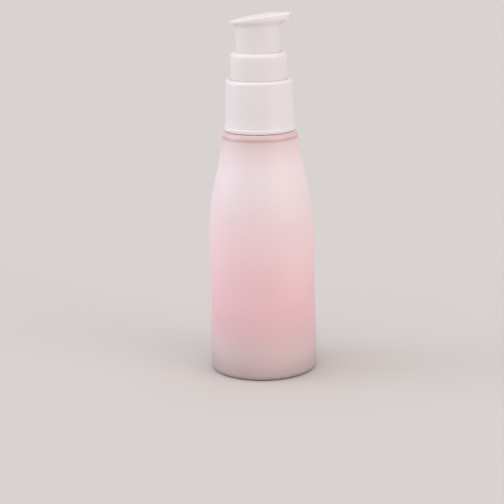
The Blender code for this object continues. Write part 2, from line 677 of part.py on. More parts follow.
def make_ball_retainer(finish, pump):
    radius = CHAMBER_RADIUS - RUN_GAP
    outline = [
        (RETAINER_HOLE_RADIUS, RETAINER_BOTTOM),
        (radius, RETAINER_BOTTOM),
        (radius, RETAINER_TOP),
        (RETAINER_HOLE_RADIUS, RETAINER_TOP),
    ]
    retainer = piece("ball_retainer", turned(outline), RETAINER_BOTTOM, finish, pump)
    length = 2 * (radius - RETAINER_RIM)
    size = Vector((length, RETAINER_SLOT_WIDTH, 2 * RETAINER_HEIGHT))
    for name, angle in (("slot_along_x", 0), ("slot_along_y", math.pi / 2)):
        slot = bmesh.new()
        middle = Matrix.Translation((0, 0, (RETAINER_TOP + RETAINER_BOTTOM) / 2))
        place = middle @ Matrix.Rotation(angle, 4, "Z")
        bmesh.ops.create_cube(slot, size=1, matrix=place @ Matrix.Diagonal((*size, 1)))
        boolean(retainer, name, slot)
    return retainer


def make_inlet_ball(finish, pump):
    mesh = bmesh.new()
    place = Matrix.Translation((0, 0, BALL_CENTRE))
    bmesh.ops.create_uvsphere(
        mesh, u_segments=BALL_SEGMENTS, v_segments=BALL_RINGS, radius=BALL_RADIUS, matrix=place
    )
    return piece("inlet_ball", mesh, BALL_CENTRE, finish, pump)


def make_dip_tube(finish, pump):
    """A plain tube, with its lower end cut at a slant so that it can't seal against the floor."""
    bore = DIP_TUBE_RADIUS - DIP_TUBE_WALL
    outline = [
        (bore, DIP_TUBE_BOTTOM),
        (DIP_TUBE_RADIUS, DIP_TUBE_BOTTOM),
        (DIP_TUBE_RADIUS, DIP_TUBE_TOP),
        (bore, DIP_TUBE_TOP),
    ]
    mesh = turned(outline)
    for point in mesh.verts:
        if point.co.z < DIP_TUBE_BOTTOM + MERGE:
            point.co.z += (point.co.x + DIP_TUBE_RADIUS) * math.tan(DIP_CUT_ANGLE)
    return piece("dip_tube", mesh, DIP_TUBE_TOP, finish, pump)


def pad_radii(angles):
    """The distance from the axis to the pad's edge, seen from above, at each angle from the spout."""
    quarter = np.linspace(0, math.pi / 2, CURVE_STEPS)
    back = list(zip(-PAD_BACK * np.sin(quarter), PAD_HALF_WIDTH * np.cos(quarter)))
    side = bezier(
        (SPOUT_LENGTH, MOUTH_HALF_WIDTH),
        (SPOUT_LENGTH - MOUTH_PULL, MOUTH_HALF_WIDTH + MOUTH_FLARE),
        (SIDE_PULL, PAD_HALF_WIDTH),
        (0, PAD_HALF_WIDTH),
        CURVE_STEPS,
    )
    edge = np.array([(SPOUT_LENGTH, 0)] + side + back[1:])
    around = np.arctan2(edge[:, 1], edge[:, 0])
    reach = np.hypot(edge[:, 0], edge[:, 1])
    folded = np.abs((angles + math.pi) % math.tau - math.pi)
    corner = math.atan2(MOUTH_HALF_WIDTH, SPOUT_LENGTH)
    mouth = SPOUT_LENGTH / np.cos(np.minimum(folded, corner))
    return np.where(folded <= corner, mouth, np.interp(folded, around, reach))


def pad_height(x):
    """The height of the pad's edge, which rises towards the spout and is a little crowned."""
    return PAD_CENTRE + x * math.tan(PAD_SLOPE) - PAD_CROWN * (x / PAD_BACK) ** 2


def rim_height(x):
    """How deep the pad's upright edge is, from the back to the mouth."""
    share = (x + PAD_BACK) / (SPOUT_LENGTH + PAD_BACK)
    return RIM_BACK_HEIGHT + (RIM_MOUTH_HEIGHT - RIM_BACK_HEIGHT) * share


def make_actuator(finish, plunger):
    """The push button: a barrel that flares out into a finger pad with a spout, and its hollows."""
    angles = np.arange(HEAD_SEGMENTS) * math.tau / HEAD_SEGMENTS
    edge = pad_radii(angles)
    mesh = bmesh.new()

    def ring(radii, height_at):
        points = []
        for angle, radius in zip(angles, radii):
            x, y = float(radius * math.cos(angle)), float(radius * math.sin(angle))
            points.append(mesh.verts.new((x, y, height_at(x))))
        return points

    barrel = np.full(HEAD_SEGMENTS, BARREL_RADIUS)
    rings = [
        ring(barrel - BARREL_CHAMFER, lambda x: BARREL_BOTTOM),
        ring(barrel, lambda x: BARREL_BOTTOM + BARREL_CHAMFER),
        ring(barrel, lambda x: CREASE - FLARE_FILLET),
        ring(barrel + FLARE_FILLET, lambda x: CREASE),
        ring(edge, lambda x: pad_height(x) - rim_height(x)),
        ring(edge, lambda x: pad_height(x) - PAD_EDGE),
        ring(edge - PAD_EDGE, pad_height),
    ]
    for step in range(1, DISH_RINGS):
        share = 1 - step / DISH_RINGS
        dip = PAD_DISH * (1 - share**2)
        rings.append(ring((edge - PAD_EDGE) * share, lambda x: pad_height(x) - dip))
    skin(mesh, rings)
    mesh.faces.new(rings[0])
    centre = mesh.verts.new((0, 0, PAD_CENTRE - PAD_DISH))
    for index, point in enumerate(rings[-1]):
        mesh.faces.new((point, rings[-1][(index + 1) % HEAD_SEGMENTS], centre))
    bmesh.ops.recalc_face_normals(mesh, faces=mesh.faces)
    head = piece("actuator", mesh, BARREL_BOTTOM, finish, plunger)

    below = BARREL_BOTTOM - STROKE
    ceiling = CREASE + CEILING_RISE
    socket = STEM_RADIUS + RUN_GAP
    boss = socket + BOSS_WALL
    hollow = [
        (0, below),
        (BARREL_BORE_RADIUS, below),
        (BARREL_BORE_RADIUS, ceiling),
        (boss, ceiling),
        (boss, BOSS_BOTTOM),
        (0, BOSS_BOTTOM),
    ]
    boolean(head, "barrel_hollow", turned(hollow, ROUND_SEGMENTS))
    boolean(head, "stem_socket", cylinder(socket, BOSS_BOTTOM - SEAT_GAP, STEM_TOP + SEAT_GAP))
    channel = PAD_CENTRE - CHANNEL_DROP
    boolean(head, "riser", cylinder(STEM_BORE_RADIUS, STEM_TOP, channel))
    spout = cylinder(CHANNEL_RADIUS, -CHANNEL_RADIUS, 2 * SPOUT_LENGTH)
    lying = Matrix.Rotation(math.pi / 2 - PAD_SLOPE, 4, "Y")
    bmesh.ops.transform(spout, verts=spout.verts, matrix=Matrix.Translation((0, 0, channel)) @ lying)
    boolean(head, "spout_bore", spout)
    return head


def main():
    clear_scene()
    frosted = material("frosted_bottle", srgb(232, 203, 205), 0.45)
    white = material("white_plastic", srgb(240, 235, 233), 0.3)
    natural = material("natural_plastic", srgb(226, 224, 218), 0.4)
    seal = material("soft_seal", srgb(214, 212, 206), 0.6)
    steel = material("spring_steel", srgb(186, 188, 190), 0.25, 1.0)

    bottle = make_bottle(frosted)
    pump = empty("pump_unit", NECK_TOP, bottle)
    plunger = empty("plunger", STEM_TOP, pump)
    make_collar(white, pump)
    make_guide_sleeve(white, pump)
    make_gasket(seal, pump)
    make_housing(natural, pump)
    make_housing_cap(natural, pump)
    make_ball_retainer(natural, pump)
    make_inlet_ball(steel, pump)
    make_return_spring(steel, pump)
    make_dip_tube(natural, pump)
    make_stem(natural, plunger)
    make_valve_plug(natural, plunger)
    make_piston(seal, plunger)
    make_actuator(white, plunger)


main()
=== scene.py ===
import math

import bmesh
import bpy
import numpy as np
from bpy.props import FloatProperty, FloatVectorProperty, IntProperty, PointerProperty
from mathutils import Matrix, Vector


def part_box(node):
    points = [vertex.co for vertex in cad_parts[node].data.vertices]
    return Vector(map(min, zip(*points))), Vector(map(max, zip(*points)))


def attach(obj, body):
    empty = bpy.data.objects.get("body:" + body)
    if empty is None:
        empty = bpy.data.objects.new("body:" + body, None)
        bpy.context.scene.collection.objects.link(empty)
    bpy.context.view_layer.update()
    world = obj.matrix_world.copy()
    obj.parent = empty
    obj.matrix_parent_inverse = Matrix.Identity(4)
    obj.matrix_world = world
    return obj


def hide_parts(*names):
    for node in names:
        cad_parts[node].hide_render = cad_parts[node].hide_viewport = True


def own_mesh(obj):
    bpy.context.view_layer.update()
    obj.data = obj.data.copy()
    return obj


# Dresses a pump bottle for lotion with its real surfaces, finishes, studio light and camera.
# Run it with blender --background --python scene.py, or from Blender's text editor.
# Lengths are in metres and +Z is up. The bottle stands on the origin and its spout points along +X.

bl_info = {
    "name": "Pump Bottle",
    "version": (1, 0, 0),
    "blender": (4, 5, 0),
    "location": "View3D > Sidebar > Pump Bottle",
    "description": "Surfaces, finishes and studio for a frosted bottle with a stepped lotion pump",
    "category": "Object",
}

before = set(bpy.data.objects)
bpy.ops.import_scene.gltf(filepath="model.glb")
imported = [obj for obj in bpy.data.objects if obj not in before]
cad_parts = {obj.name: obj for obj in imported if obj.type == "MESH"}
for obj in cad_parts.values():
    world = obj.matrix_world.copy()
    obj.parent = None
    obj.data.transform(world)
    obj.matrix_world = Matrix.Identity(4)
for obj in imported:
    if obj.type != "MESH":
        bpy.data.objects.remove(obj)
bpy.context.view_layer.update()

MM = 0.001

# Up to where points are one and level, from where they are apart, and up to where they lie on a wall

MERGE = 1e-6
NEAR = 5 * MERGE
CLEAR = 10 * MERGE
ON_WALL = 20 * MERGE

# How far below its top an outline's mouth is read, and the degrees from +X at which the solids are cut

PROBE = 0.1 * MM
DIAGONAL, SIDE, REAR = 45, 90, 180

# The turn at which a corner is sharp, the turn of a curve's step and the turn up to which a run is straight

SHARP_TURN = math.radians(35)
CURVE_TURN = math.radians(4)
STRAIGHT_TURN = math.radians(0.15)

# A rounding's steps, its longest share of a side and its size where pieces fit closely

ROUNDING_STEPS = 4
LONGEST_ROUNDING = 0.4
CRISP_EDGE = 0.05 * MM

SMOOTH_ANGLE = math.radians(32)
DRILL_SIDES = 40
BALL_STEPS = 36
COLUMN_WIDTH, ROW_HEIGHT, ROW_LENGTH = 230, 260, 9


def srgb(red, green, blue):
    """A colour of 0 to 255 values as the linear colour that Blender's sockets take."""
    return tuple(((value / 255 + 0.055) / 1.055) ** 2.4 for value in (red, green, blue)) + (1.0,)


def colour_property(name, description, red, green, blue):
    return FloatVectorProperty(name=name, description=description, default=srgb(red, green, blue), size=4,
                               subtype="COLOR", min=0.0, max=1.0)


def number_property(name, description, default, least=0.0, **kind):
    return FloatProperty(name=name, description=description, default=default, min=least, **kind)


def length_property(name, description, millimetres, least=0.0):
    return number_property(name, description, millimetres * MM, least, unit="LENGTH", precision=5)


def angle_property(name, description, degrees):
    return number_property(name, description, math.radians(degrees), -math.pi, subtype="ANGLE")


def count_property(name, description, default, least, most):
    return IntProperty(name=name, description=description, default=default, min=least, max=most)


# Reading the solids

def cut_runs(node, degrees):
    """The points, as (radius, height), of a solid's cut by the half-plane at an angle from +X, and each one's
    neighbours."""
    mesh = bmesh.new()
    mesh.from_mesh(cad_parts[node].data)
    bmesh.ops.remove_doubles(mesh, verts=mesh.verts, dist=MERGE)
    angle = math.radians(degrees)
    outwards = Vector((math.cos(angle), math.sin(angle), 0))
    across = Vector((-math.sin(angle), math.cos(angle), 0))
    everything = mesh.verts[:] + mesh.edges[:] + mesh.faces[:]
    cut = bmesh.ops.bisect_plane(mesh, geom=everything, dist=MERGE, plane_co=(0, 0, 0), plane_no=across)
    mesh.verts.index_update()
    points, neighbours = {}, {}
    for edge in cut["geom_cut"]:
        if isinstance(edge, bmesh.types.BMEdge) and all(v.co.dot(outwards) > -MERGE for v in edge.verts):
            for here, there in (edge.verts, reversed(edge.verts)):
                points[here.index] = (max(here.co.dot(outwards), 0.0), here.co.z)
                neighbours.setdefault(here.index, []).append(there.index)
    mesh.free()
    return points, neighbours


def section(node, degrees=DIAGONAL):
    """The one outline of a solid's cut by the half-plane at an angle from +X, as (radius, height) points.

    One that reaches the axis runs from its lower axis point to its upper one. Any other one is closed."""
    points, neighbours = cut_runs(node, degrees)
    ends = [index for index in points if len(neighbours[index]) == 1]
    walked = [min(ends or points, key=lambda index: points[index][::-1])]
    while True:
        following = [index for index in neighbours[walked[-1]] if index not in walked]
        if not following:
            break
        walked.append(following[0])
    if len(walked) != len(points):
        raise RuntimeError(f"{node}: the cut at {degrees} degrees has more than one outline")
    return [points[index] for index in walked]


def crossings(outline, height=None, radius=None):
    """The radii at which an outline crosses a height, or the heights at which it crosses a radius, rising."""
    axis, value = (1, height) if radius is None else (0, radius)
    found = []
    for here, there in zip(outline, outline[1:] + outline[:1]):
        if (here[axis] - value) * (there[axis] - value) < 0:
            share = (value - here[axis]) / (there[axis] - here[axis])
            found.append(here[1 - axis] + share * (there[1 - axis] - here[1 - axis]))
    return sorted(found)


def refit(outline, axis, old, new):
    """An outline whose points on one radius (axis 0) or at one height (axis 1) are moved to another."""
    moved = []
    for point in outline:
        place = list(point)
        if abs(place[axis] - old) < NEAR:
            place[axis] = new
        moved.append(tuple(place))
    return moved


def neck_of_bottle(sizes):
    """The bottle's outline, its neck's top and radius, its shoulder's top and its thread's foot."""
    outline = section("bottle")
    top = max(z for _, z in outline)
    radius = crossings(outline, height=top - MM)[-1]
    shoulder = min(z for r, z in outline if abs(r - radius) < NEAR)
    foot = top - sizes.neck_thread_drop - sizes.neck_turns * sizes.thread_pitch
    return outline, top, radius, shoulder, foot


def turn_between(first, second):
    return first.angle(second, 0.0)


def straightened(points, closed):
    """Leaves out the points that lie on a straight run."""
    kept = list(points)
    changed = True
    while changed:
        changed = False
        for index in range(0 if closed else 1, len(kept) - (0 if closed else 1)):
            here = Vector(kept[index])
            back = here - Vector(kept[index - 1])
            ahead = Vector(kept[(index + 1) % len(kept)]) - here
            if back.length < MERGE or turn_between(back, ahead) < STRAIGHT_TURN:
                del kept[index]
                changed = True
                break
    return kept


def arc(corner, back, ahead, radius, steps=ROUNDING_STEPS):
    """The rounding of a corner between two directions that lead away from it."""
    half = back.angle(ahead) / 2
    reach = radius / math.tan(half)
    centre = corner + (back + ahead).normalized() * radius / math.sin(half)
    first = (corner + back * reach - centre).normalized()
    last = (corner + ahead * reach - centre).normalized()
    return [centre + radius * first.slerp(last, step / steps) for step in range(steps + 1)]


def hermite(start, leaving, end, arriving):
    """The points between two ends of a curve that leaves and arrives in given directions."""
    chord = end - start
    turn = max(turn_between(chord, leaving), turn_between(chord, arriving))
    steps = max(1, math.ceil(2 * turn / CURVE_TURN))
    points = []
    for step in range(1, steps):
        t = step / steps
        points.append(
            start * (2 * t**3 - 3 * t**2 + 1)
            + leaving * chord.length * (t**3 - 2 * t**2 + t)
            + end * (3 * t**2 - 2 * t**3)
            + arriving * chord.length * (t**3 - t**2)
        )
    return points


def softened(outline, edge, crisp=()):
    """An outline with its sharp corners rounded and its shallow kinks drawn out into smooth curves.

    The corners at the crisp points are hardly rounded, as where one piece fits closely in another."""
    closed = outline[0][0] > MERGE
    corners = [Vector(point) for point in straightened(outline, closed)]
    count = len(corners)
    spans = count if closed else count - 1
    runs = [(corners[(index + 1) % count] - corners[index]) for index in range(spans)]
    stations = []
    for index, corner in enumerate(corners):
        if not closed and index in (0, count - 1):
            level = Vector((1, 0)) if index == 0 else Vector((-1, 0))
            stations.append(([corner], level, level))
            continue
        back, ahead = runs[index - 1], runs[index]
        if turn_between(back, ahead) > SHARP_TURN:
            slope = math.tan((math.pi - turn_between(back, ahead)) / 2)
            is_crisp = any((corner - Vector(point)).length < NEAR for point in crisp)
            longest = LONGEST_ROUNDING * slope * min(back.length, ahead.length)
            radius = min(CRISP_EDGE if is_crisp else edge, longest)
            rounding = arc(corner, -back.normalized(), ahead.normalized(), radius)
            stations.append((rounding, back.normalized(), ahead.normalized()))
        else:
            mean = (back + ahead).normalized()
            stations.append(([corner], mean, mean))
    smooth = []
    for index, (points, _, leaving) in enumerate(stations):
        smooth += points
        if closed or index < count - 1:
            following = stations[(index + 1) % count]
            smooth += hermite(points[-1], leaving, following[0][0], following[1])
    if closed:
        smooth.append(smooth[0])
    return [tuple(point) for point in smooth]


def filled(outline, low, high, radius, step):
    """Adds the points to an outline's upright wall that a thread needs between two heights."""
    dense = []
    for here, there in zip(outline, outline[1:] + [None]):
        dense.append(here)
        if there is None or abs(here[0] - radius) > ON_WALL or abs(there[0] - radius) > ON_WALL:
            continue
        run = there[1] - here[1]
        count = math.ceil(abs(run) / step)
        for index in range(1, count):
            height = here[1] + run * index / count
            if low < height < high:
                dense.append((radius, height))
    return dense


# Building with nodes

def join(value, socket):
    """Sets an input to a value, or links an output to it, a node's first one if the node itself is given."""
    if isinstance(value, bpy.types.Node):
        value = value.outputs[0]
    if isinstance(value, bpy.types.NodeSocket):
        socket.id_data.links.new(value, socket)
    else:
        socket.default_value = value


def add(tree, kind, inputs=None, **settings):
    """A new node, with its settings and its inputs by name or number."""
    made = tree.nodes.new(kind)
    for name, value in settings.items():
        setattr(made, name, value)
    for key, value in (inputs or {}).items():
        join(value, made.inputs[key])
    row, column = divmod(len(tree.nodes), ROW_LENGTH)
    made.location = (COLUMN_WIDTH * column, -ROW_HEIGHT * row)
    return made


def calc(operation, *values, clamp=False):
    """A Math node. Each value is a number, a node or an output, and at least one isn't a number."""
    tree = next(value.id_data for value in values if hasattr(value, "id_data"))
    return add(tree, "ShaderNodeMath", dict(enumerate(values)), operation=operation, use_clamp=clamp)


def plus(first, second):
    return calc("ADD", first, second)


def minus(first, second):
    return calc("SUBTRACT", first, second)


def times(first, second):
    return calc("MULTIPLY", first, second)


def over(first, second, clamp=False):
    return calc("DIVIDE", first, second, clamp=clamp)


def sockets(tree, inputs, outputs):
    """Gives a node group its named inputs, as (name, kind, default), and its named outputs."""
    for name, kind, default in inputs:
        made = tree.interface.new_socket(name=name, in_out="INPUT", socket_type="NodeSocket" + kind)
        if default is not None:
            made.default_value = default
    for name, kind in outputs:
        tree.interface.new_socket(name=name, in_out="OUTPUT", socket_type="NodeSocket" + kind)


def shape_tree(name, inputs):
    """A geometry tree with these inputs and one output, and its two end nodes."""
    tree = bpy.data.node_groups.new(name, "GeometryNodeTree")
    sockets(tree, inputs, [("Geometry", "Geometry")])
    return tree, add(tree, "NodeGroupInput").outputs, add(tree, "NodeGroupOutput")


def close_tree(tree, mesh, given, end):
    """Ends a geometry tree with real geometry and its finish."""
    real = add(tree, "GeometryNodeRealizeInstances", {"Geometry": mesh})
    coated = add(tree, "GeometryNodeSetMaterial", {"Geometry": real, "Material": given["Finish"]})
    join(coated, end.inputs[0])
    return tree


def round_the_axis(radius, turn, height):
    """The place at a radius, a number of turns round the axis and a height."""
    angle = times(turn, math.tau)
    across = times(radius, calc("COSINE", angle))
    along = times(radius, calc("SINE", angle))
    return add(angle.id_data, "ShaderNodeCombineXYZ", {"X": across, "Y": along, "Z": height})


def turned_tree():
    """Turns (radius, 0, height) points round the axis, with a screw thread on the wall that has one."""
    tree, given, end = shape_tree("turned_piece", [
        ("Outline", "Geometry", None),
        ("Segments", "Int", 144),
        *((f"Thread {name}", "Float", 0.0) for name in ("Wall", "Foot", "Turns", "Depth", "Root", "Crest")),
        ("Thread Pitch", "Float", 1.0),
        ("Thread Run Out", "Float", 0.125),
        ("Finish", "Material", None),
    ])
    outline, segments, pitch = given["Outline"], given["Segments"], given["Thread Pitch"]
    count = add(tree, "GeometryNodeAttributeDomainSize", {"Geometry": outline}).outputs["Point Count"]
    grid = add(tree, "GeometryNodeMeshGrid", {"Vertices X": plus(segments, 1), "Vertices Y": count})
    index = add(tree, "GeometryNodeInputIndex")
    turn = over(calc("FLOOR", over(index, count)), segments)
    sample = add(tree, "GeometryNodeSampleIndex", {"Geometry": outline}, data_type="FLOAT_VECTOR")
    value = next(socket for socket in sample.inputs if socket.name == "Value" and socket.enabled)
    join(add(tree, "GeometryNodeInputPosition"), value)
    join(calc("MODULO", index, count), sample.inputs["Index"])
    point = add(tree, "ShaderNodeSeparateXYZ", {0: sample}).outputs
    radius, height = point["X"], point["Z"]

    above = minus(over(minus(height, given["Thread Foot"]), pitch), turn)
    nearest = calc("ROUND", above)
    along = plus(nearest, turn)
    off = times(calc("ABSOLUTE", minus(above, nearest)), pitch)
    to_end = calc("MINIMUM", along, minus(given["Thread Turns"], along))
    fade = over(to_end, given["Thread Run Out"], clamp=True)
    slack = minus(times(given["Thread Root"], 0.5), off)
    flank = times(minus(given["Thread Root"], given["Thread Crest"]), 0.5)
    profile = over(slack, flank, clamp=True)
    on_wall = calc("COMPARE", radius, given["Thread Wall"], ON_WALL)
    ridge = times(times(profile, fade), times(given["Thread Depth"], on_wall))

    place = round_the_axis(plus(radius, ridge), turn, height)
    turned = add(tree, "GeometryNodeSetPosition", {"Geometry": grid.outputs["Mesh"], "Position": place})
    merged = add(tree, "GeometryNodeMergeByDistance", {"Geometry": turned, "Distance": MERGE})
    return close_tree(tree, merged, given, end)


def coil_tree():
    """Winds a round wire into a compression spring whose end turns are closed up."""
    tree, given, end = shape_tree("coiled_wire", [
        ("Coil Radius", "Float", 0.003),
        ("Wire Radius", "Float", 0.0003),
        ("Foot", "Float", 0.0),
        ("Length", "Float", 0.01),
        ("Turns", "Int", 8),
        ("End Gap", "Float", 0.0),
        ("Points per Turn", "Int", 48),
        ("Wire Sides", "Int", 12),
        ("Finish", "Material", None),
    ])
    turns, per_turn, radius = given["Turns"], given["Points per Turn"], given["Wire Radius"]
    line = add(tree, "GeometryNodeMeshLine", {"Count": plus(times(turns, per_turn), 1)})
    turn = over(add(tree, "GeometryNodeInputIndex"), per_turn)
    last = calc("MAXIMUM", minus(turn, minus(turns, 1)), 0)
    closed = plus(calc("MINIMUM", turn, 1), last)
    wire = times(radius, 2)
    end_rise = plus(wire, given["End Gap"])
    between = minus(given["Length"], plus(wire, times(end_rise, 2)))
    open_rise = over(between, minus(turns, 2))
    rise = plus(times(closed, end_rise), times(minus(turn, closed), open_rise))
    place = round_the_axis(given["Coil Radius"], turn, plus(rise, plus(given["Foot"], radius)))
    wound = add(tree, "GeometryNodeSetPosition", {"Geometry": line, "Position": place})
    path = add(tree, "GeometryNodeMeshToCurve", {0: wound})
    circle = {"Resolution": given["Wire Sides"], "Radius": radius}
    side = add(tree, "GeometryNodeCurvePrimitiveCircle", circle)
    swept = add(tree, "GeometryNodeCurveToMesh", {"Curve": path, "Profile Curve": side, "Fill Caps": True})
    return close_tree(tree, swept, given, end)


def tree_of(name, make):
    return bpy.data.node_groups.get(name) or make()


def linked(name, data):
    """A new object of this data in the scene."""
    made = bpy.data.objects.new(name, data)
    bpy.context.collection.objects.link(made)
    return made


def mesh_of(name, work):
    """The mesh of a working mesh, which is freed."""
    mesh = bpy.data.meshes.new(name)
    work.to_mesh(mesh)
    work.free()
    return mesh


def applied(carrier, modifier):
    """The plain mesh that an object's modifier makes. The modifier is removed."""
    bpy.context.view_layer.update()
    evaluated = carrier.evaluated_get(bpy.context.evaluated_depsgraph_get())
    mesh = bpy.data.meshes.new_from_object(evaluated)
    carrier.modifiers.remove(modifier)
    return mesh


def grown(name, points, tree, values):
    """The plain mesh that a geometry tree makes from a line of points, with the tree's inputs set by name."""
    line = bpy.data.meshes.new(name + "_line")
    line.from_pydata([(radius, 0, height) for radius, height in points], [], [])
    carrier = linked(name + "_line", line)
    modifier = carrier.modifiers.new(tree.name, "NODES")
    modifier.node_group = tree
    identifiers = {item.name: item.identifier for item in tree.interface.items_tree if item.in_out == "INPUT"}
    for key, value in values.items():
        modifier[identifiers[key]] = value
    mesh = applied(carrier, modifier)
    bpy.data.objects.remove(carrier)
    bpy.data.meshes.remove(line)
    if not mesh.polygons:
        raise RuntimeError(f"{name}: its tree made no faces")
    mesh.name = name
    return mesh


def outwards(mesh):
    """Closes seams and poles, turns every face outwards and shades all but the sharp edges smooth."""
    work = bmesh.new()
    work.from_mesh(mesh)
    bmesh.ops.remove_doubles(work, verts=work.verts, dist=MERGE)
    bmesh.ops.recalc_face_normals(work, faces=work.faces)
    work.to_mesh(mesh)
    work.free()
    mesh.shade_smooth()
    mesh.set_sharp_from_angle(angle=SMOOTH_ANGLE)


def shown(name, mesh, finish=None):
    """The object of a mesh whose faces are put right, with a finish where its tree gave it none."""
    outwards(mesh)
    if finish:
        mesh.materials.append(finish)
    return linked(name, mesh)


def stand_for(piece, node, body):
    """Puts a piece in the place of a solid on the body that carries it."""
    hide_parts(node)
    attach(piece, body)


def cut_away(target, tool):
    """Cuts one closed mesh out of another and leaves no modifier behind."""
    modifier = target.modifiers.new("cut", "BOOLEAN")
    modifier.operation = "DIFFERENCE"
    modifier.solver = "EXACT"
    modifier.object = tool
    whole, name = target.data, target.data.name
    target.data = applied(target, modifier)
    bpy.data.meshes.remove(whole)
    target.data.name = name
    outwards(target.data)
    bpy.data.objects.remove(tool)


def drill(name, radius, length, place):
    """A closed cylinder that starts at its place and runs along the place's z axis."""
    work = bmesh.new()
    matrix = place @ Matrix.Translation((0, 0, length / 2))
    bmesh.ops.create_cone(work, cap_ends=True, segments=DRILL_SIDES, radius1=radius, radius2=radius,
                          depth=length, matrix=matrix)
    return linked(name, mesh_of(name, work))


# Finishes

CLOUD_DETAIL, GRAIN_DETAIL = 3.0, 2.0
BUMP_STRENGTH = 0.5


def surface_group():
    """What every moulded surface shares: slow changes of tone and gloss, and a fine grain."""
    tree = bpy.data.node_groups.new("moulded_surface", "ShaderNodeTree")
    inputs = [
        ("Colour", "Color", (0.8, 0.8, 0.8, 1.0)),
        ("Tone Change", "Float", 0.02),
        ("Gloss", "Float", 0.3),
        ("Gloss Change", "Float", 0.05),
        ("Cloud Scale", "Float", 60.0),
        ("Grain Scale", "Float", 3000.0),
    ]
    sockets(tree, inputs, [("Colour", "Color"), ("Roughness", "Float"), ("Grain", "Float")])
    given = add(tree, "NodeGroupInput").outputs
    end = add(tree, "NodeGroupOutput").inputs
    place = add(tree, "ShaderNodeTexCoord").outputs["Object"]
    cloud, grain = (
        add(tree, "ShaderNodeTexNoise", {"Vector": place, "Scale": given[scale], "Detail": detail})
        for scale, detail in (("Cloud Scale", CLOUD_DETAIL), ("Grain Scale", GRAIN_DETAIL))
    )
    lean = minus(cloud, 0.5)
    tone = calc("MULTIPLY_ADD", lean, given["Tone Change"], 1.0)
    speck = calc("MULTIPLY_ADD", minus(grain, 0.5), times(given["Tone Change"], 0.5), tone)
    join(scaled(tree, given["Colour"], speck), end["Colour"])
    join(calc("MULTIPLY_ADD", lean, given["Gloss Change"], given["Gloss"]), end["Roughness"])
    join(grain, end["Grain"])
    return tree


def scaled(tree, colour, strength):
    """A colour made lighter or darker."""
    return add(tree, "ShaderNodeVectorMath", {0: colour, "Scale": strength}, operation="SCALE")


def mixed(tree, share, first, second):
    """The output that goes from one colour to another."""
    return add(tree, "ShaderNodeMix", {0: share, 6: first, 7: second}, data_type="RGBA").outputs[2]


def soft_step(tree, value, low, high, below=0.0, above=1.0):
    """Goes softly from one number to another while a value rises."""
    inputs = {"Value": value, 1: low, 2: high, 3: below, 4: above}
    return add(tree, "ShaderNodeMapRange", inputs, interpolation_type="SMOOTHSTEP")


def moulded(tone_change, gloss, gloss_change, cloud_scale, grain_scale):
    """The shared moulded surface's values."""
    return {
        "Tone Change": tone_change,
        "Gloss": gloss,
        "Gloss Change": gloss_change,
        "Cloud Scale": cloud_scale,
        "Grain Scale": grain_scale,
    }


def lit_inside(share, radius, depth, ior):
    """A shader's values for a material that light enters."""
    return {"Subsurface Weight": share, "Subsurface Radius": radius, "Subsurface Scale": depth, "IOR": ior}


def material(name):
    made = bpy.data.materials.new(name)
    made.use_nodes = True
    return made


def finished(made, colour, values, grain_depth, shader_values):
    """A material whose shader is fed from the shared moulded surface, with this finish's own values."""
    tree = made.node_tree
    shared = tree_of("moulded_surface", surface_group)
    moulding = add(tree, "ShaderNodeGroup", {"Colour": colour, **values}, node_tree=shared).outputs
    bump = add(tree, "ShaderNodeBump",
               {"Strength": BUMP_STRENGTH, "Distance": grain_depth, "Height": moulding["Grain"]})
    fed = {"Base Color": moulding["Colour"], "Roughness": moulding["Roughness"], "Normal": bump}
    for key, value in {**fed, **shader_values}.items():
        join(value, tree.nodes["Principled BSDF"].inputs[key])
    return made


WHITE, NATURAL = "glossy_white_moulding", "milky_natural_moulding"
SEAL, STEEL = "soft_seal_foam", "bright_spring_steel"

# Each plain finish's colour, moulded surface, depth of grain and shader values

PLAIN_FINISHES = {
    WHITE:
        ("white", moulded(0.015, 0.26, 0.03, 90.0, 2600.0), 0.004 * MM,
         lit_inside(0.3, (1.0, 0.85, 0.75), 1.5 * MM, 1.49)),
    NATURAL:
        ("natural", moulded(0.05, 0.36, 0.1, 160.0, 3200.0), 0.006 * MM,
         lit_inside(0.3, (1.0, 0.9, 0.8), 1.5 * MM, 1.51)),
    SEAL:
        ("seal", moulded(0.1, 0.62, 0.12, 300.0, 5200.0), 0.02 * MM,
         lit_inside(0.15, (1.0, 1.0, 0.9), 0.8 * MM, 1.45)),
    STEEL:
        ("steel", moulded(0.08, 0.24, 0.14, 700.0, 9000.0), 0.003 * MM, {"Metallic": 1.0}),
}


def plain_finish(name):
    """A finish of one colour."""
    made = bpy.data.materials.get(name)
    if not made:
        colour_name, *values = PLAIN_FINISHES[name]
        colour = getattr(bpy.context.scene.pump_bottle_colours, colour_name)
        made = finished(material(name), colour, *values)
        made.diffuse_color = colour
    return made


# The bottle's colour by height in millimetres, with painted shade in its darker foot and heel at the base and
# in its darker step under the collar. Its ring and step are measured down from the shoulder's top.

WALL_COLOURS = ((8.0, "heel"), (22.5, "blush"), (41.5, "rose"), (66.5, "shoulder"), (77.5, "shoulder"),
                (84.2, "crown"), (86.0, "step"))
DRIFT_SCALE, DRIFT_DETAIL, DRIFT_REACH, DRIFT_SHARE = 28.0, 1.0, 10 * MM, 0.9
# Where the painted shade of the dark ring at the step lies, measured down from the shoulder's top, and how
# soft its edges are
SHADE_RING_FOOT, SHADE_RING_TOP, SHADE_RING_BLUR = 2.35 * MM, 1.65 * MM, 0.55 * MM
STEP_FOOT, STEP_TOP = 2.9 * MM, 2.2 * MM
WALL_GLOSS, STEP_GLOSS = 0.46, 0.2
WALL_GRAIN = 0.012 * MM
WALL_LIGHT = lit_inside(0.35, (1.0, 0.55, 0.6), 2.2 * MM, 1.46)
SHEEN = {"Sheen Weight": 0.07, "Sheen Roughness": 0.4}


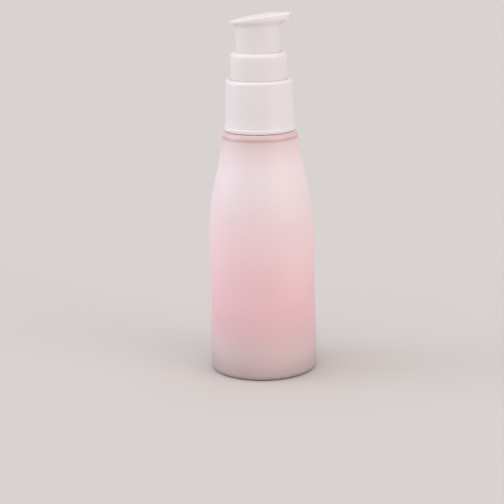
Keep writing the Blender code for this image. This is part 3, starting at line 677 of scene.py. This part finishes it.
def frosted_finish(top):
    """The bottle's frosted wall, whose colour changes slowly with height, with painted shade at its foot and
    on its step, and a darker glossy ring of painted shade at the step.
    """
    made = bpy.data.materials.get("frosted_pink_wall")
    if made:
        return made
    colours = bpy.context.scene.pump_bottle_colours
    made = material("frosted_pink_wall")
    tree = made.node_tree
    place = add(tree, "ShaderNodeTexCoord").outputs["Object"]
    height = add(tree, "ShaderNodeSeparateXYZ", {0: place}).outputs["Z"]
    noise = {"Vector": place, "Scale": DRIFT_SCALE, "Detail": DRIFT_DETAIL}
    wander = times(minus(add(tree, "ShaderNodeTexNoise", noise), 0.5), DRIFT_REACH)
    settled = times(wander, calc("LESS_THAN", height, DRIFT_SHARE * top))
    ramp = add(tree, "ShaderNodeValToRGB", {"Fac": over(plus(height, settled), top, clamp=True)})
    ramp.color_ramp.interpolation = "CARDINAL"
    elements = ramp.color_ramp.elements
    elements.remove(elements[1])
    elements[0].position = 0.0
    elements[0].color = colours.foot
    for level, colour in WALL_COLOURS:
        elements.new(level * MM / top).color = getattr(colours, colour)
    # Painted shade: a darker ring is mixed into the wall's colour at the step.
    foot, head = top - SHADE_RING_FOOT, top - SHADE_RING_TOP
    rise = soft_step(tree, height, foot - SHADE_RING_BLUR, foot + SHADE_RING_BLUR)
    fall = soft_step(tree, height, head - SHADE_RING_BLUR, head + SHADE_RING_BLUR, 1.0, 0.0)
    shade_ringed = mixed(tree, times(rise, fall), ramp, colours.ring)
    step = add(tree, "ShaderNodeMapRange", {"Value": height, 1: top - STEP_FOOT, 2: top - STEP_TOP})
    gloss = add(tree, "ShaderNodeMix", {0: step, 2: WALL_GLOSS, 3: STEP_GLOSS})
    sheen = {**SHEEN, "Sheen Tint": colours.sheen}
    finished(made, shade_ringed, moulded(0.05, gloss, 0.1, 70.0, 4200.0), WALL_GRAIN, {**WALL_LIGHT, **sheen})
    made.diffuse_color = colours.blush
    return made


class PumpBottleSizes(bpy.types.PropertyGroup):
    """Sizes that the solids don't give: facets, edge roundings and the plan of the finger pad."""

    segments: count_property("Round Segments", "Facets round the bottle, collar and sleeve", 144, 24, 256)
    inner_segments: count_property("Inner Segments", "Facets round the pieces inside the pump", 72, 24, 144)
    bottle_edge: length_property("Bottle Edge", "Rounding of the bottle's sharp edges", 0.35)
    moulding_edge: length_property("Moulding Edge", "Rounding of the white pieces' sharp edges", 0.22)
    inner_edge: length_property("Inner Edge", "Rounding of the inner pieces' sharp edges", 0.1)
    close_fit: length_property("Close Fit", "Gap round the sleeve's foot and the push head's barrel", 0.05)
    seat_gap: length_property("Seat Gap", "Gap between the collar's foot and the bottle's shoulder", 0.12)
    thread_pitch: length_property("Thread Pitch", "Rise of the screw thread in one turn", 3.175)
    thread_depth: length_property("Thread Depth", "Depth of the screw thread", 0.75)
    thread_root: length_property("Thread Root", "Width of the thread at its root", 1.3)
    thread_crest: length_property("Thread Crest", "Width of the thread at its crest", 0.7)
    thread_row: length_property("Thread Row", "Height of one row of facets on a threaded wall", 0.12)
    neck_turns: number_property("Neck Turns", "Turns of the thread on the neck", 1.5)
    collar_turns: number_property("Collar Turns", "Turns of the thread in the collar", 1.0)
    neck_thread_drop: length_property("Neck Thread Drop", "From the neck's top down to the last turn", 1.45)
    flank_gap: length_property("Flank Gap", "Clearance between the two threads", 0.2)
    mouth_half_width: length_property("Mouth Half Width", "Half the width of the spout's flat end", 2.5)
    mouth_flare: length_property("Mouth Flare", "How much the spout widens behind its end", 0.9)
    mouth_pull: length_property("Mouth Pull", "How far back the spout's sides stay narrow", 3.2)
    side_pull: length_property("Side Pull", "How far forward the pad keeps its full width", 6.2)
    mouth_corner: length_property("Mouth Corner", "Rounding of the spout's corners seen from above", 0.4)
    pad_edge: length_property("Pad Edge", "Rounding of the pad's upper edge", 0.42)
    pad_under_edge: length_property("Pad Under Edge", "Rounding of the pad's lower edge", 1.8)
    mouth_under_edge: length_property("Mouth Under Edge", "Rounding of the spout's lower edge", 0.2)
    pad_dish: length_property("Pad Dish", "Depth of the finger pad's hollow", 0.35)
    flare_fillet: length_property("Flare Fillet", "Rounding where the barrel meets the pad's underside", 0.8)
    spring_turns: count_property("Spring Turns", "Turns of the return spring", 8, 3, 100)
    spring_wire: length_property("Spring Wire", "Radius of the spring's wire", 0.28)
    spring_end_gap: length_property("Spring End Gap", "Gap under the spring's closed end turns", 0.2)


class PumpBottleColours(bpy.types.PropertyGroup):
    """Colours of the finishes."""

    # Painted shade: the foot and heel are darker for the shade at the bottle's base.
    foot: colour_property("Foot", "The bottle's wall at the foot", 184, 165, 164)
    heel: colour_property("Heel", "The bottle's wall above the foot", 211, 190, 189)
    blush: colour_property("Blush", "The pink of the bottle's lower half", 236, 194, 198)
    rose: colour_property("Rose", "The lighter pink of the bottle's middle", 246, 209, 212)
    shoulder: colour_property("Shoulder", "The pale upper part of the bottle", 241, 222, 223)
    crown: colour_property("Crown", "The bottle's wall just below its step", 231, 209, 208)
    # Painted shade: the step is darker for the shade under the collar.
    step: colour_property("Step", "The rounded step under the collar", 221, 195, 193)
    # Painted shade: the ring's colour is a dark line of shade at the step.
    ring: colour_property("Ring", "The glossy ring at the bottle's step", 200, 171, 171)
    sheen: colour_property("Sheen", "The frosted wall's soft edge light", 236, 200, 222)
    white: colour_property("White", "The collar, sleeve and push head", 236, 230, 229)
    natural: colour_property("Natural", "The unpigmented pieces inside the pump", 228, 226, 220)
    seal: colour_property("Seal", "The gasket and the piston", 214, 212, 206)
    steel: colour_property("Steel", "The spring and the ball", 188, 190, 192)


class PumpBottleStudio(bpy.types.PropertyGroup):
    """Lamps, backdrop and camera."""

    left: number_property("Left Lamp", "Strength of the cool light from the left", 0.9)
    right: number_property("Right Lamp", "Strength of the warm light from the right", 0.75)
    overhead: number_property("Overhead Light", "Strength of the broad light from above", 1.22)
    sky: number_property("Sky", "Strength of the even light from all round", 0.66)
    sky_above: colour_property("Sky Above", "The cool light from above", 236, 243, 255)
    sky_level: colour_property("Sky Level", "The warm light from the sides", 255, 242, 236)
    floor: colour_property("Floor", "The pale floor", 208, 201, 195)
    backdrop: colour_property("Backdrop", "The pale backdrop behind the floor", 217, 211, 208)
    pitch: angle_property("Camera Pitch", "How far the camera looks down", 14.23)
    roll: angle_property("Camera Roll", "Turn of the picture about its centre", -1.14)
    orbit: angle_property("Camera Orbit", "How far the camera stands round from the bottle's front", 10)
    aside: length_property("Camera Aside", "The camera's place beside the bottle's axis", -3.455, -1.0)
    distance: length_property("Camera Distance", "Level distance from the bottle's axis to the camera", 522.6)
    height: length_property("Camera Height", "The camera's height over the floor", 175)
    lens: number_property("Lens", "Focal length in millimetres", 107.14, 1.0)


def turned_piece(name, outline, segments, finish, thread=None):
    """A turned piece, with a screw thread on its wall where it has one."""
    values = {"Segments": segments, "Finish": finish, **(thread or {})}
    return shown(name, grown(name, outline, tree_of("turned_piece", turned_tree), values))


def threaded_piece(name, outline, finish, sizes, wall, foot, high, turns, depth):
    """A turned piece with a screw thread that climbs its upright wall from a foot, below a height."""
    dense = filled(outline, foot - sizes.thread_root, high, wall, sizes.thread_row)
    return turned_piece(name, dense, sizes.segments, finish, {
        "Thread Wall": wall,
        "Thread Foot": foot,
        "Thread Turns": turns,
        "Thread Depth": depth,
        "Thread Root": sizes.thread_root,
        "Thread Crest": sizes.thread_crest,
        "Thread Pitch": sizes.thread_pitch,
    })


def fitted_round(outline, inner, sizes):
    """A white piece's softened outline, whose upper mouth closely fits the outline that stands in it."""
    high = max(z for _, z in outline)
    mouth = crossings(outline, height=high - PROBE)[0]
    fit = crossings(inner, height=high + MM)[-1] + sizes.close_fit
    return softened(refit(outline, 0, mouth, fit), sizes.moulding_edge, [(fit, high)])


class PUMPBOTTLE_OT_bottle(bpy.types.Operator):
    """Makes the frosted bottle with its step, screw neck and pushed-up base"""

    bl_idname = "pump_bottle.bottle"
    bl_label = "Frosted Bottle"

    def execute(self, context):
        sizes = context.scene.pump_bottle_sizes
        outline, top, neck_radius, shoulder_top, foot = neck_of_bottle(sizes)
        plain = [(r, z) for r, z in outline if not (z > shoulder_top + MERGE and r > neck_radius + NEAR)]
        soft = [(radius, max(height, 0.0)) for radius, height in softened(plain, sizes.bottle_edge)]
        finish = frosted_finish(shoulder_top)
        body = threaded_piece("frosted_body", soft, finish, sizes, neck_radius, foot, top, sizes.neck_turns,
                              sizes.thread_depth)
        stand_for(body, "bottle", "bottle")
        return {"FINISHED"}


class PUMPBOTTLE_OT_collar(bpy.types.Operator):
    """Makes the screw collar with its lip, flared foot, recess and inner thread"""

    bl_idname = "pump_bottle.collar"
    bl_label = "Screw Collar"

    def execute(self, context):
        sizes = context.scene.pump_bottle_sizes
        outline = section("collar")
        low = min(z for _, z in outline)
        bore = crossings(outline, height=low + MM)[0]
        ceiling = max(z for r, z in outline if abs(r - bore) < NEAR)
        plain = [(r, z) for r, z in outline if not (z < ceiling - MERGE and r < bore - NEAR)]
        *_, shoulder_top, neck_foot = neck_of_bottle(sizes)
        foot = neck_foot - (sizes.thread_root + sizes.thread_crest) / 2 - sizes.flank_gap
        seated = refit(plain, 1, low, shoulder_top + sizes.seat_gap)
        soft = fitted_round(seated, section("guide_sleeve"), sizes)
        collar = threaded_piece("screw_collar", soft, plain_finish(WHITE), sizes, bore, foot, ceiling,
                                sizes.collar_turns, -sizes.thread_depth)
        stand_for(collar, "collar", "collar")
        return {"FINISHED"}


class PUMPBOTTLE_OT_guide_sleeve(bpy.types.Operator):
    """Makes the sleeve that the push head slides in"""

    bl_idname = "pump_bottle.guide_sleeve"
    bl_label = "Guide Sleeve"

    def execute(self, context):
        sizes = context.scene.pump_bottle_sizes
        soft = fitted_round(section("guide_sleeve"), section("actuator", SIDE), sizes)
        sleeve = turned_piece("stepped_sleeve", soft, sizes.segments, plain_finish(WHITE))
        stand_for(sleeve, "guide_sleeve", "pump_unit")
        return {"FINISHED"}


# The steps round the finger pad, and how far its side keeps from the mouth's rounded corner

MOUTH_STEPS, CORNER_STEPS, SIDE_STEPS, REAR_STEPS = 4, 5, 26, 30
CORNER_CLEARANCE = 0.15 * MM

# How far over the head's foot its boss is read, and how far under the flare its inner outline ends

BOSS_LEVEL = 5 * MM
TURN_DROP = 2 * MM

# The flare's steps, the shares that its roundings may take, and the rings under the rim and over the pad

FLARE_STEPS = 6
FLARE_SHARE = 0.6
LONGEST_LIP, HIGHEST_LIP = 0.8, 0.6
UNDERSIDE_RINGS = (0.35, 0.7)
PAD_RINGS = (0.94, 0.86, 0.76, 0.64, 0.5, 0.36, 0.22, 0.1)
DISH_POWER = 1.4


class Pad:
    """The finger pad's plan and heights, read from the solid and the sizes."""

    def __init__(self, sizes):
        self.sizes = sizes
        low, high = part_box("actuator")
        self.length = high.x
        self.back = -low.x
        self.half_width = high.y
        front = list(cut_runs("actuator", 0)[0].values())
        self.side = section("actuator", SIDE)
        rear = section("actuator", REAR)
        crest = []
        for outline, reach in ((front, self.length), (self.side, self.half_width), (rear, self.back)):
            crest.append(max((z, r) for r, z in outline if r > reach - MM))
        places = [crest[0][1], 0.0, -crest[2][1]]
        self.curve = np.polyfit(places, [height for height, _ in crest], 2)
        deep = [(end, self.top(end) - min(z for r, z in outline if r > abs(end) - NEAR))
                for outline, end in ((front, self.length), (rear, -self.back))]
        self.deep = np.polyfit(*zip(*deep), 1)

    def top(self, x):
        return float(np.polyval(self.curve, x))

    def depth(self, x):
        return float(np.polyval(self.deep, x))

    def plan(self):
        """The pad's edge seen from above, from the middle of the mouth round the left side and back."""
        sizes = self.sizes
        half = sizes.mouth_half_width
        corners = (
            Vector((self.length, half)),
            Vector((self.length - sizes.mouth_pull, half + sizes.mouth_flare)),
            Vector((sizes.side_pull, self.half_width)),
            Vector((0.0, self.half_width)),
        )
        side = []
        for step in range(SIDE_STEPS + 1):
            t = step / SIDE_STEPS
            weights = ((1 - t) ** 3, 3 * t * (1 - t) ** 2, 3 * t**2 * (1 - t), t**3)
            side.append(sum((w * c for w, c in zip(weights, corners)), Vector((0.0, 0.0))))
        ahead = (corners[1] - corners[0]).normalized()
        corner = arc(corners[0], Vector((0, -1)), ahead, sizes.mouth_corner, CORNER_STEPS)
        mouth = [Vector((self.length, corner[0].y * step / MOUTH_STEPS)) for step in range(MOUTH_STEPS)]
        side = [point for point in side if point.x < corner[-1].x - CORNER_CLEARANCE]
        turns = [math.pi / 2 * step / REAR_STEPS for step in range(1, REAR_STEPS + 1)]
        rear = [Vector((-self.back * math.sin(turn), self.half_width * math.cos(turn))) for turn in turns]
        left = mouth + corner + side + rear
        right = [Vector((point.x, -point.y)) for point in left[1:-1]][::-1]
        return left + right


class PUMPBOTTLE_OT_actuator(bpy.types.Operator):
    """Makes the push head: barrel, flared underside, dished finger pad, spout and the hollows inside"""

    bl_idname = "pump_bottle.actuator"
    bl_label = "Push Head"

    def execute(self, context):
        sizes = context.scene.pump_bottle_sizes
        pad = Pad(sizes)
        side = pad.side
        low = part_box("actuator")[0].z
        socket, boss, bore, barrel = crossings(side, height=low + BOSS_LEVEL)
        crease = min(z for r, z in side if r > barrel + CLEAR)
        ceiling = crossings(side, radius=(boss + bore) / 2)[0]
        boss_bottom = crossings(side, radius=(socket + boss) / 2)[0]
        riser = crossings(side, height=crease - MM)[0]
        socket_top = crossings(side, radius=(riser + socket) / 2)[0]
        channel_top = crossings(side, radius=2 * MERGE)[0]
        channel_radius, channel = self.channel(side, riser, channel_top)
        chamfer = barrel - max(r for r, z in side if z < low + NEAR)
        turn = crease - TURN_DROP
        inside = softened([
            (0.0, channel), (riser, channel), (riser, socket_top), (socket, socket_top),
            (socket, boss_bottom), (boss, boss_bottom), (boss, ceiling), (bore, ceiling), (bore, low),
            (barrel - chamfer / 2, low), (barrel, low + chamfer / 2), (barrel, turn),
            (barrel, turn + MM / 2), (0.0, crease + MM),
        ], sizes.moulding_edge)
        last = max(i for i, (r, z) in enumerate(inside) if r > barrel - MERGE and z < turn + PROBE)
        plan = pad.plan()
        angles = [math.atan2(point.y, point.x) for point in plan]
        work = bmesh.new()
        rings = []
        for radius, height in inside[: last + 1]:
            if radius < MERGE:
                rings.append([(0, 0, height)])
            else:
                rings.append([(radius * math.cos(a), radius * math.sin(a), height) for a in angles])
        rings += zip(*(self.column(pad, point, barrel, crease) for point in plan))
        rings.append([(0, 0, pad.top(0.0) - sizes.pad_dish)])
        rings = [[work.verts.new(point) for point in ring] for ring in rings]
        for lower, upper in zip(rings, rings[1:]):
            self.skin(work, lower, upper)
        head = shown("push_head", mesh_of("push_head", work), plain_finish(WHITE))
        slope = math.atan(pad.curve[1])
        lying = Matrix.Translation((0, 0, channel)) @ Matrix.Rotation(math.pi / 2 - slope, 4, "Y")
        cut_away(head, drill("spout_bore", channel_radius, 2 * pad.length, lying))
        stand_for(head, "actuator", "head")
        return {"FINISHED"}

    @staticmethod
    def channel(side, riser, top):
        """The radius of the spout's bore and the height of its middle on the axis."""
        ledge = [r for r, z in side if MERGE < r < riser - CLEAR and z < top]
        radius = max(ledge) if ledge else riser
        return radius, min(z for r, z in side if abs(r - radius) < CLEAR and r < riser - MERGE)

    @staticmethod
    def skin(work, lower, upper):
        """Joins two rings, or a ring and a point on the axis, with faces."""
        count = max(len(lower), len(upper))
        for index in range(count):
            following = (index + 1) % count
            if len(lower) == 1:
                work.faces.new((lower[0], upper[following], upper[index]))
            elif len(upper) == 1:
                work.faces.new((lower[index], lower[following], upper[0]))
            else:
                work.faces.new((lower[index], lower[following], upper[following], upper[index]))

    @staticmethod
    def column(pad, point, barrel, crease):
        """The points over one point of the pad's plan: up the flare and the rim and in over the pad."""
        sizes = pad.sizes
        up = Vector((0, 1))
        out = point.normalized()
        x = point.x
        fillet = sizes.flare_fillet
        start = Vector((barrel, crease - fillet))
        knee = Vector((barrel, crease))
        lip = Vector((point.length, pad.top(x) - pad.depth(x)))
        slope = (lip - knee).normalized()
        settle = knee + slope * min(fillet, FLARE_SHARE * (lip - knee).length)
        line = []
        for step in range(FLARE_STEPS + 1):
            t = step / FLARE_STEPS
            line.append(start * (1 - t) ** 2 + knee * 2 * t * (1 - t) + settle * t**2)
        forward = min(max((x - sizes.side_pull) / (pad.length - sizes.side_pull), 0.0), 1.0)
        edge = sizes.pad_under_edge + (sizes.mouth_under_edge - sizes.pad_under_edge) * forward
        half = (math.pi - turn_between(slope, up)) / 2
        longest = min(LONGEST_LIP * (lip - settle).length, HIGHEST_LIP * (pad.depth(x) - sizes.pad_edge))
        low_round = arc(lip, -slope, up, min(edge, longest * math.tan(half)))
        line += [settle.lerp(low_round[0], share) for share in UNDERSIDE_RINGS]
        line += low_round
        line += arc(Vector((point.length, pad.top(x))), -up, Vector((-1, 0)), sizes.pad_edge)
        placed = [(out.x * p.x, out.y * p.x, p.y) for p in line]
        for share in PAD_RINGS:
            radius = line[-1].x * share
            dip = sizes.pad_dish * (1 - share**2) ** DISH_POWER
            placed.append((out.x * radius, out.y * radius, pad.top(out.x * radius) - dip))
        return placed


class PUMPBOTTLE_OT_engine(bpy.types.Operator):
    """Makes the inner pieces: housing, cap, stem, plug, piston, washer, ball, gasket and dip tube"""

    bl_idname = "pump_bottle.engine"
    bl_label = "Pump Engine"

    def execute(self, context):
        sizes = context.scene.pump_bottle_sizes
        for name, node, body, finish, cut in (
            ("seal_ring", "neck_gasket", "pump_unit", SEAL, None),
            ("housing_barrel", "pump_housing", "pump_unit", NATURAL, self.vent_hole),
            ("housing_plug", "housing_cap", "pump_unit", NATURAL, None),
            ("hollow_stem", "stem", "plunger", NATURAL, self.side_ports),
            ("stem_plug", "valve_plug", "plunger", NATURAL, None),
            ("sleeve_piston", "piston", "piston", SEAL, None),
            ("ball_washer", "ball_retainer", "pump_unit", NATURAL, self.crossed_slots),
            ("suction_tube", "dip_tube", "pump_unit", NATURAL, self.slanted_end),
        ):
            outline = softened(section(node, SIDE if node == "dip_tube" else DIAGONAL), sizes.inner_edge)
            made = turned_piece(name, outline, sizes.inner_segments, plain_finish(finish))
            if cut:
                cut(made, node)
            stand_for(made, node, body)
        low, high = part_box("inlet_ball")
        middle, radius = (low.z + high.z) / 2, (high.z - low.z) / 2
        turns = [math.pi * step / BALL_STEPS for step in range(BALL_STEPS + 1)]
        half_circle = [(radius * math.sin(turn), middle - radius * math.cos(turn)) for turn in turns]
        ball = turned_piece("steel_ball", half_circle, sizes.inner_segments, plain_finish(STEEL))
        stand_for(ball, "inlet_ball", "ball")
        return {"FINISHED"}

    def vent_hole(self, piece, node):
        """Drills the air hole through the housing's front wall."""
        self.drill_across("vent_hole", piece, node, 0.0)

    def side_ports(self, piece, node):
        """Drills the ports through both walls of the stem."""
        self.drill_across("side_ports", piece, node, -2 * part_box(node)[1].x)

    @staticmethod
    def drill_across(name, piece, node, start):
        """Drills along X from a start out through the wall, where the solid has its round hole."""
        whole = [height for _, height in section(node)]
        cut = [z for _, z in cut_runs(node, 0)[0].values() if all(abs(z - level) > NEAR for level in whole)]
        middle, radius = (max(cut) + min(cut)) / 2, (max(cut) - min(cut)) / 2
        place = Matrix.Translation((start, 0, middle)) @ Matrix.Rotation(math.pi / 2, 4, "Y")
        cut_away(piece, drill(name, radius, 2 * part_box(node)[1].x - start, place))

    @staticmethod
    def crossed_slots(piece, node):
        """Cuts the washer's two slots, as long and as wide as the solid's."""
        radii = [radius for radius, _ in section(node)]
        corners = [vertex.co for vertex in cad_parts[node].data.vertices
                   if min(radii) + NEAR < vertex.co.xy.length < max(radii) - NEAR]
        length = 2 * max(abs(corner.x) for corner in corners)
        width = 2 * min(abs(corner.y) for corner in corners)
        low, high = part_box(node)
        middle = Matrix.Translation((0, 0, (low.z + high.z) / 2))
        size = Matrix.Diagonal((length, width, 2 * (high.z - low.z), 1))
        for name, angle in (("slot_along_x", 0), ("slot_along_y", math.pi / 2)):
            work = bmesh.new()
            bmesh.ops.create_cube(work, size=1, matrix=middle @ Matrix.Rotation(angle, 4, "Z") @ size)
            cut_away(piece, linked(name, mesh_of(name, work)))

    @staticmethod
    def slanted_end(piece, node):
        """Slants the dip tube's lower end, so that it can't close on the bottle's floor."""
        level = min(height for _, height in section(node, SIDE))
        low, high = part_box(node)
        slant = (level - low.z) / high.x
        for vertex in piece.data.vertices:
            if vertex.co.z < level + MM:
                vertex.co.z += slant * vertex.co.x


class PUMPBOTTLE_OT_return_spring(bpy.types.Operator):
    """Makes the coil spring that lifts the push head"""

    bl_idname = "pump_bottle.return_spring"
    bl_label = "Return Spring"

    def execute(self, context):
        sizes = context.scene.pump_bottle_sizes
        low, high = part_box("return_spring")
        length = high.z - low.z
        mesh = grown("coil_spring", [(0.0, 0.0)], tree_of("coiled_wire", coil_tree), {
            "Coil Radius": high.x - sizes.spring_wire,
            "Wire Radius": sizes.spring_wire,
            "Foot": low.z,
            "Length": length,
            "Turns": sizes.spring_turns,
            "End Gap": sizes.spring_end_gap,
            "Finish": plain_finish(STEEL),
        })
        spring = shown("coil_spring", mesh)
        stand_for(spring, "return_spring", "pump_unit")
        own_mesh(spring)
        return {"FINISHED"}


# Each lamp's direction, spread in degrees, the studio value that is its strength, and colour

LAMPS = (
    ("left_lamp", (-0.95, 0.03, 0.29), 40, "left", srgb(228, 238, 255)),
    ("right_lamp", (0.77, -0.54, 0.33), 40, "right", srgb(255, 248, 245)),
    ("overhead_lamp", (-0.14, -0.155, 0.98), 85, "overhead", srgb(255, 253, 252)),
)
FLOOR_RADIUS = 6.0
FLOOR_SIDES = 96
FLOOR_GRAIN = 0.01 * MM
NO_GLOSS = {"Specular IOR Level": 0.0}
WARM_SKY_TOP, COOL_SKY_FOOT = 0.1, 0.8

# The sensor in millimetres, a pixel as a share of the picture, and how near and far the camera sees

SENSOR_WIDTH = 36
PIXEL = 1 / 504
NEAREST, FARTHEST = 0.01, 50


class PUMPBOTTLE_OT_studio(bpy.types.Operator):
    """Sets up the pale floor, the soft lamps, the sky and the camera"""

    bl_idname = "pump_bottle.studio"
    bl_label = "Studio"

    def execute(self, context):
        studio = context.scene.pump_bottle_studio
        self.floor(studio)
        orbit = Matrix.Rotation(studio.orbit, 4, "Z")
        for name, place, spread, strength, colour in LAMPS:
            self.lamp(name, orbit @ Vector(place), spread, getattr(studio, strength), colour)
        self.sky(context.scene, studio)
        self.camera(context.scene, studio, orbit)
        context.scene.view_settings.view_transform = "Standard"
        return {"FINISHED"}

    @staticmethod
    def floor(studio):
        work = bmesh.new()
        bmesh.ops.create_circle(work, cap_ends=True, segments=FLOOR_SIDES, radius=FLOOR_RADIUS)
        floor = linked("floor", mesh_of("floor", work))
        values = moulded(0.01, 0.55, 0.05, 3.0, 900.0)
        finish = finished(material("pale_floor"), studio.floor, values, FLOOR_GRAIN, NO_GLOSS)
        floor.data.materials.append(finish)

    @staticmethod
    def lamp(name, place, spread, strength, colour):
        """A soft light from far off in the direction of a place, even over the whole floor."""
        light = bpy.data.lights.new(name, "SUN")
        light.angle = math.radians(spread)
        light.energy = strength
        light.color = colour[:3]
        linked(name, light).matrix_world = (-place).to_track_quat("-Z", "Y").to_matrix().to_4x4()

    @staticmethod
    def sky(scene, studio):
        """Even light from all round, warmer from the sides than from above, and a pale backdrop."""
        world = bpy.data.worlds.new("studio_sky")
        world.use_nodes = True
        tree = world.node_tree
        direction = add(tree, "ShaderNodeTexCoord").outputs["Generated"]
        rise = add(tree, "ShaderNodeSeparateXYZ", {0: direction}).outputs["Z"]
        share = soft_step(tree, rise, WARM_SKY_TOP, COOL_SKY_FOOT)
        lit = scaled(tree, mixed(tree, share, studio.sky_level, studio.sky_above), studio.sky)
        rays = add(tree, "ShaderNodeLightPath").outputs
        mirrored = calc("MAXIMUM", rays["Is Glossy Ray"], rays["Is Transmission Ray"])
        seen = calc("MAXIMUM", rays["Is Camera Ray"], mirrored)
        join(mixed(tree, seen, lit, studio.backdrop), tree.nodes["Background"].inputs["Color"])
        scene.world = world

    @staticmethod
    def camera(scene, studio, orbit):
        data = bpy.data.cameras.new("camera")
        data.sensor_width = SENSOR_WIDTH
        data.lens = studio.lens
        data.shift_x = -PIXEL / 2
        data.shift_y = PIXEL / 2
        data.clip_start = NEAREST
        data.clip_end = FARTHEST
        place = Matrix.Translation((studio.aside, -studio.distance, studio.height))
        tilt = Matrix.Rotation(math.pi / 2 - studio.pitch, 4, "X")
        roll = Matrix.Rotation(studio.roll, 4, "Z")
        scene.camera = linked("camera", data)
        scene.camera.matrix_world = orbit @ place @ tilt @ roll


PIECES = (
    PUMPBOTTLE_OT_bottle,
    PUMPBOTTLE_OT_collar,
    PUMPBOTTLE_OT_guide_sleeve,
    PUMPBOTTLE_OT_actuator,
    PUMPBOTTLE_OT_engine,
    PUMPBOTTLE_OT_return_spring,
    PUMPBOTTLE_OT_studio,
)
GROUPS = {
    "pump_bottle_sizes": PumpBottleSizes,
    "pump_bottle_colours": PumpBottleColours,
    "pump_bottle_studio": PumpBottleStudio,
}


class PUMPBOTTLE_PT_sidebar(bpy.types.Panel):
    """Lists the bottle's sizes, colours and studio, and the buttons that make its pieces"""

    bl_label = "Pump Bottle"
    bl_space_type = "VIEW_3D"
    bl_region_type = "UI"
    bl_category = "Pump Bottle"

    def draw(self, context):
        for attribute, group in GROUPS.items():
            box = self.layout.box()
            for name in group.__annotations__:
                box.prop(getattr(context.scene, attribute), name)
        for operator in PIECES:
            self.layout.operator(operator.bl_idname)


def register():
    for group in GROUPS.values():
        bpy.utils.register_class(group)
    for attribute, group in GROUPS.items():
        setattr(bpy.types.Scene, attribute, PointerProperty(type=group))
    for operator in PIECES:
        bpy.utils.register_class(operator)
    bpy.utils.register_class(PUMPBOTTLE_PT_sidebar)


def unregister():
    bpy.utils.unregister_class(PUMPBOTTLE_PT_sidebar)
    for operator in reversed(PIECES):
        bpy.utils.unregister_class(operator)
    for attribute, group in GROUPS.items():
        delattr(bpy.types.Scene, attribute)
        bpy.utils.unregister_class(group)


def main():
    register()
    bpy.ops.pump_bottle.bottle()
    bpy.ops.pump_bottle.collar()
    bpy.ops.pump_bottle.guide_sleeve()
    bpy.ops.pump_bottle.actuator()
    bpy.ops.pump_bottle.engine()
    bpy.ops.pump_bottle.return_spring()
    bpy.ops.pump_bottle.studio()


if __name__ == "__main__":
    main()
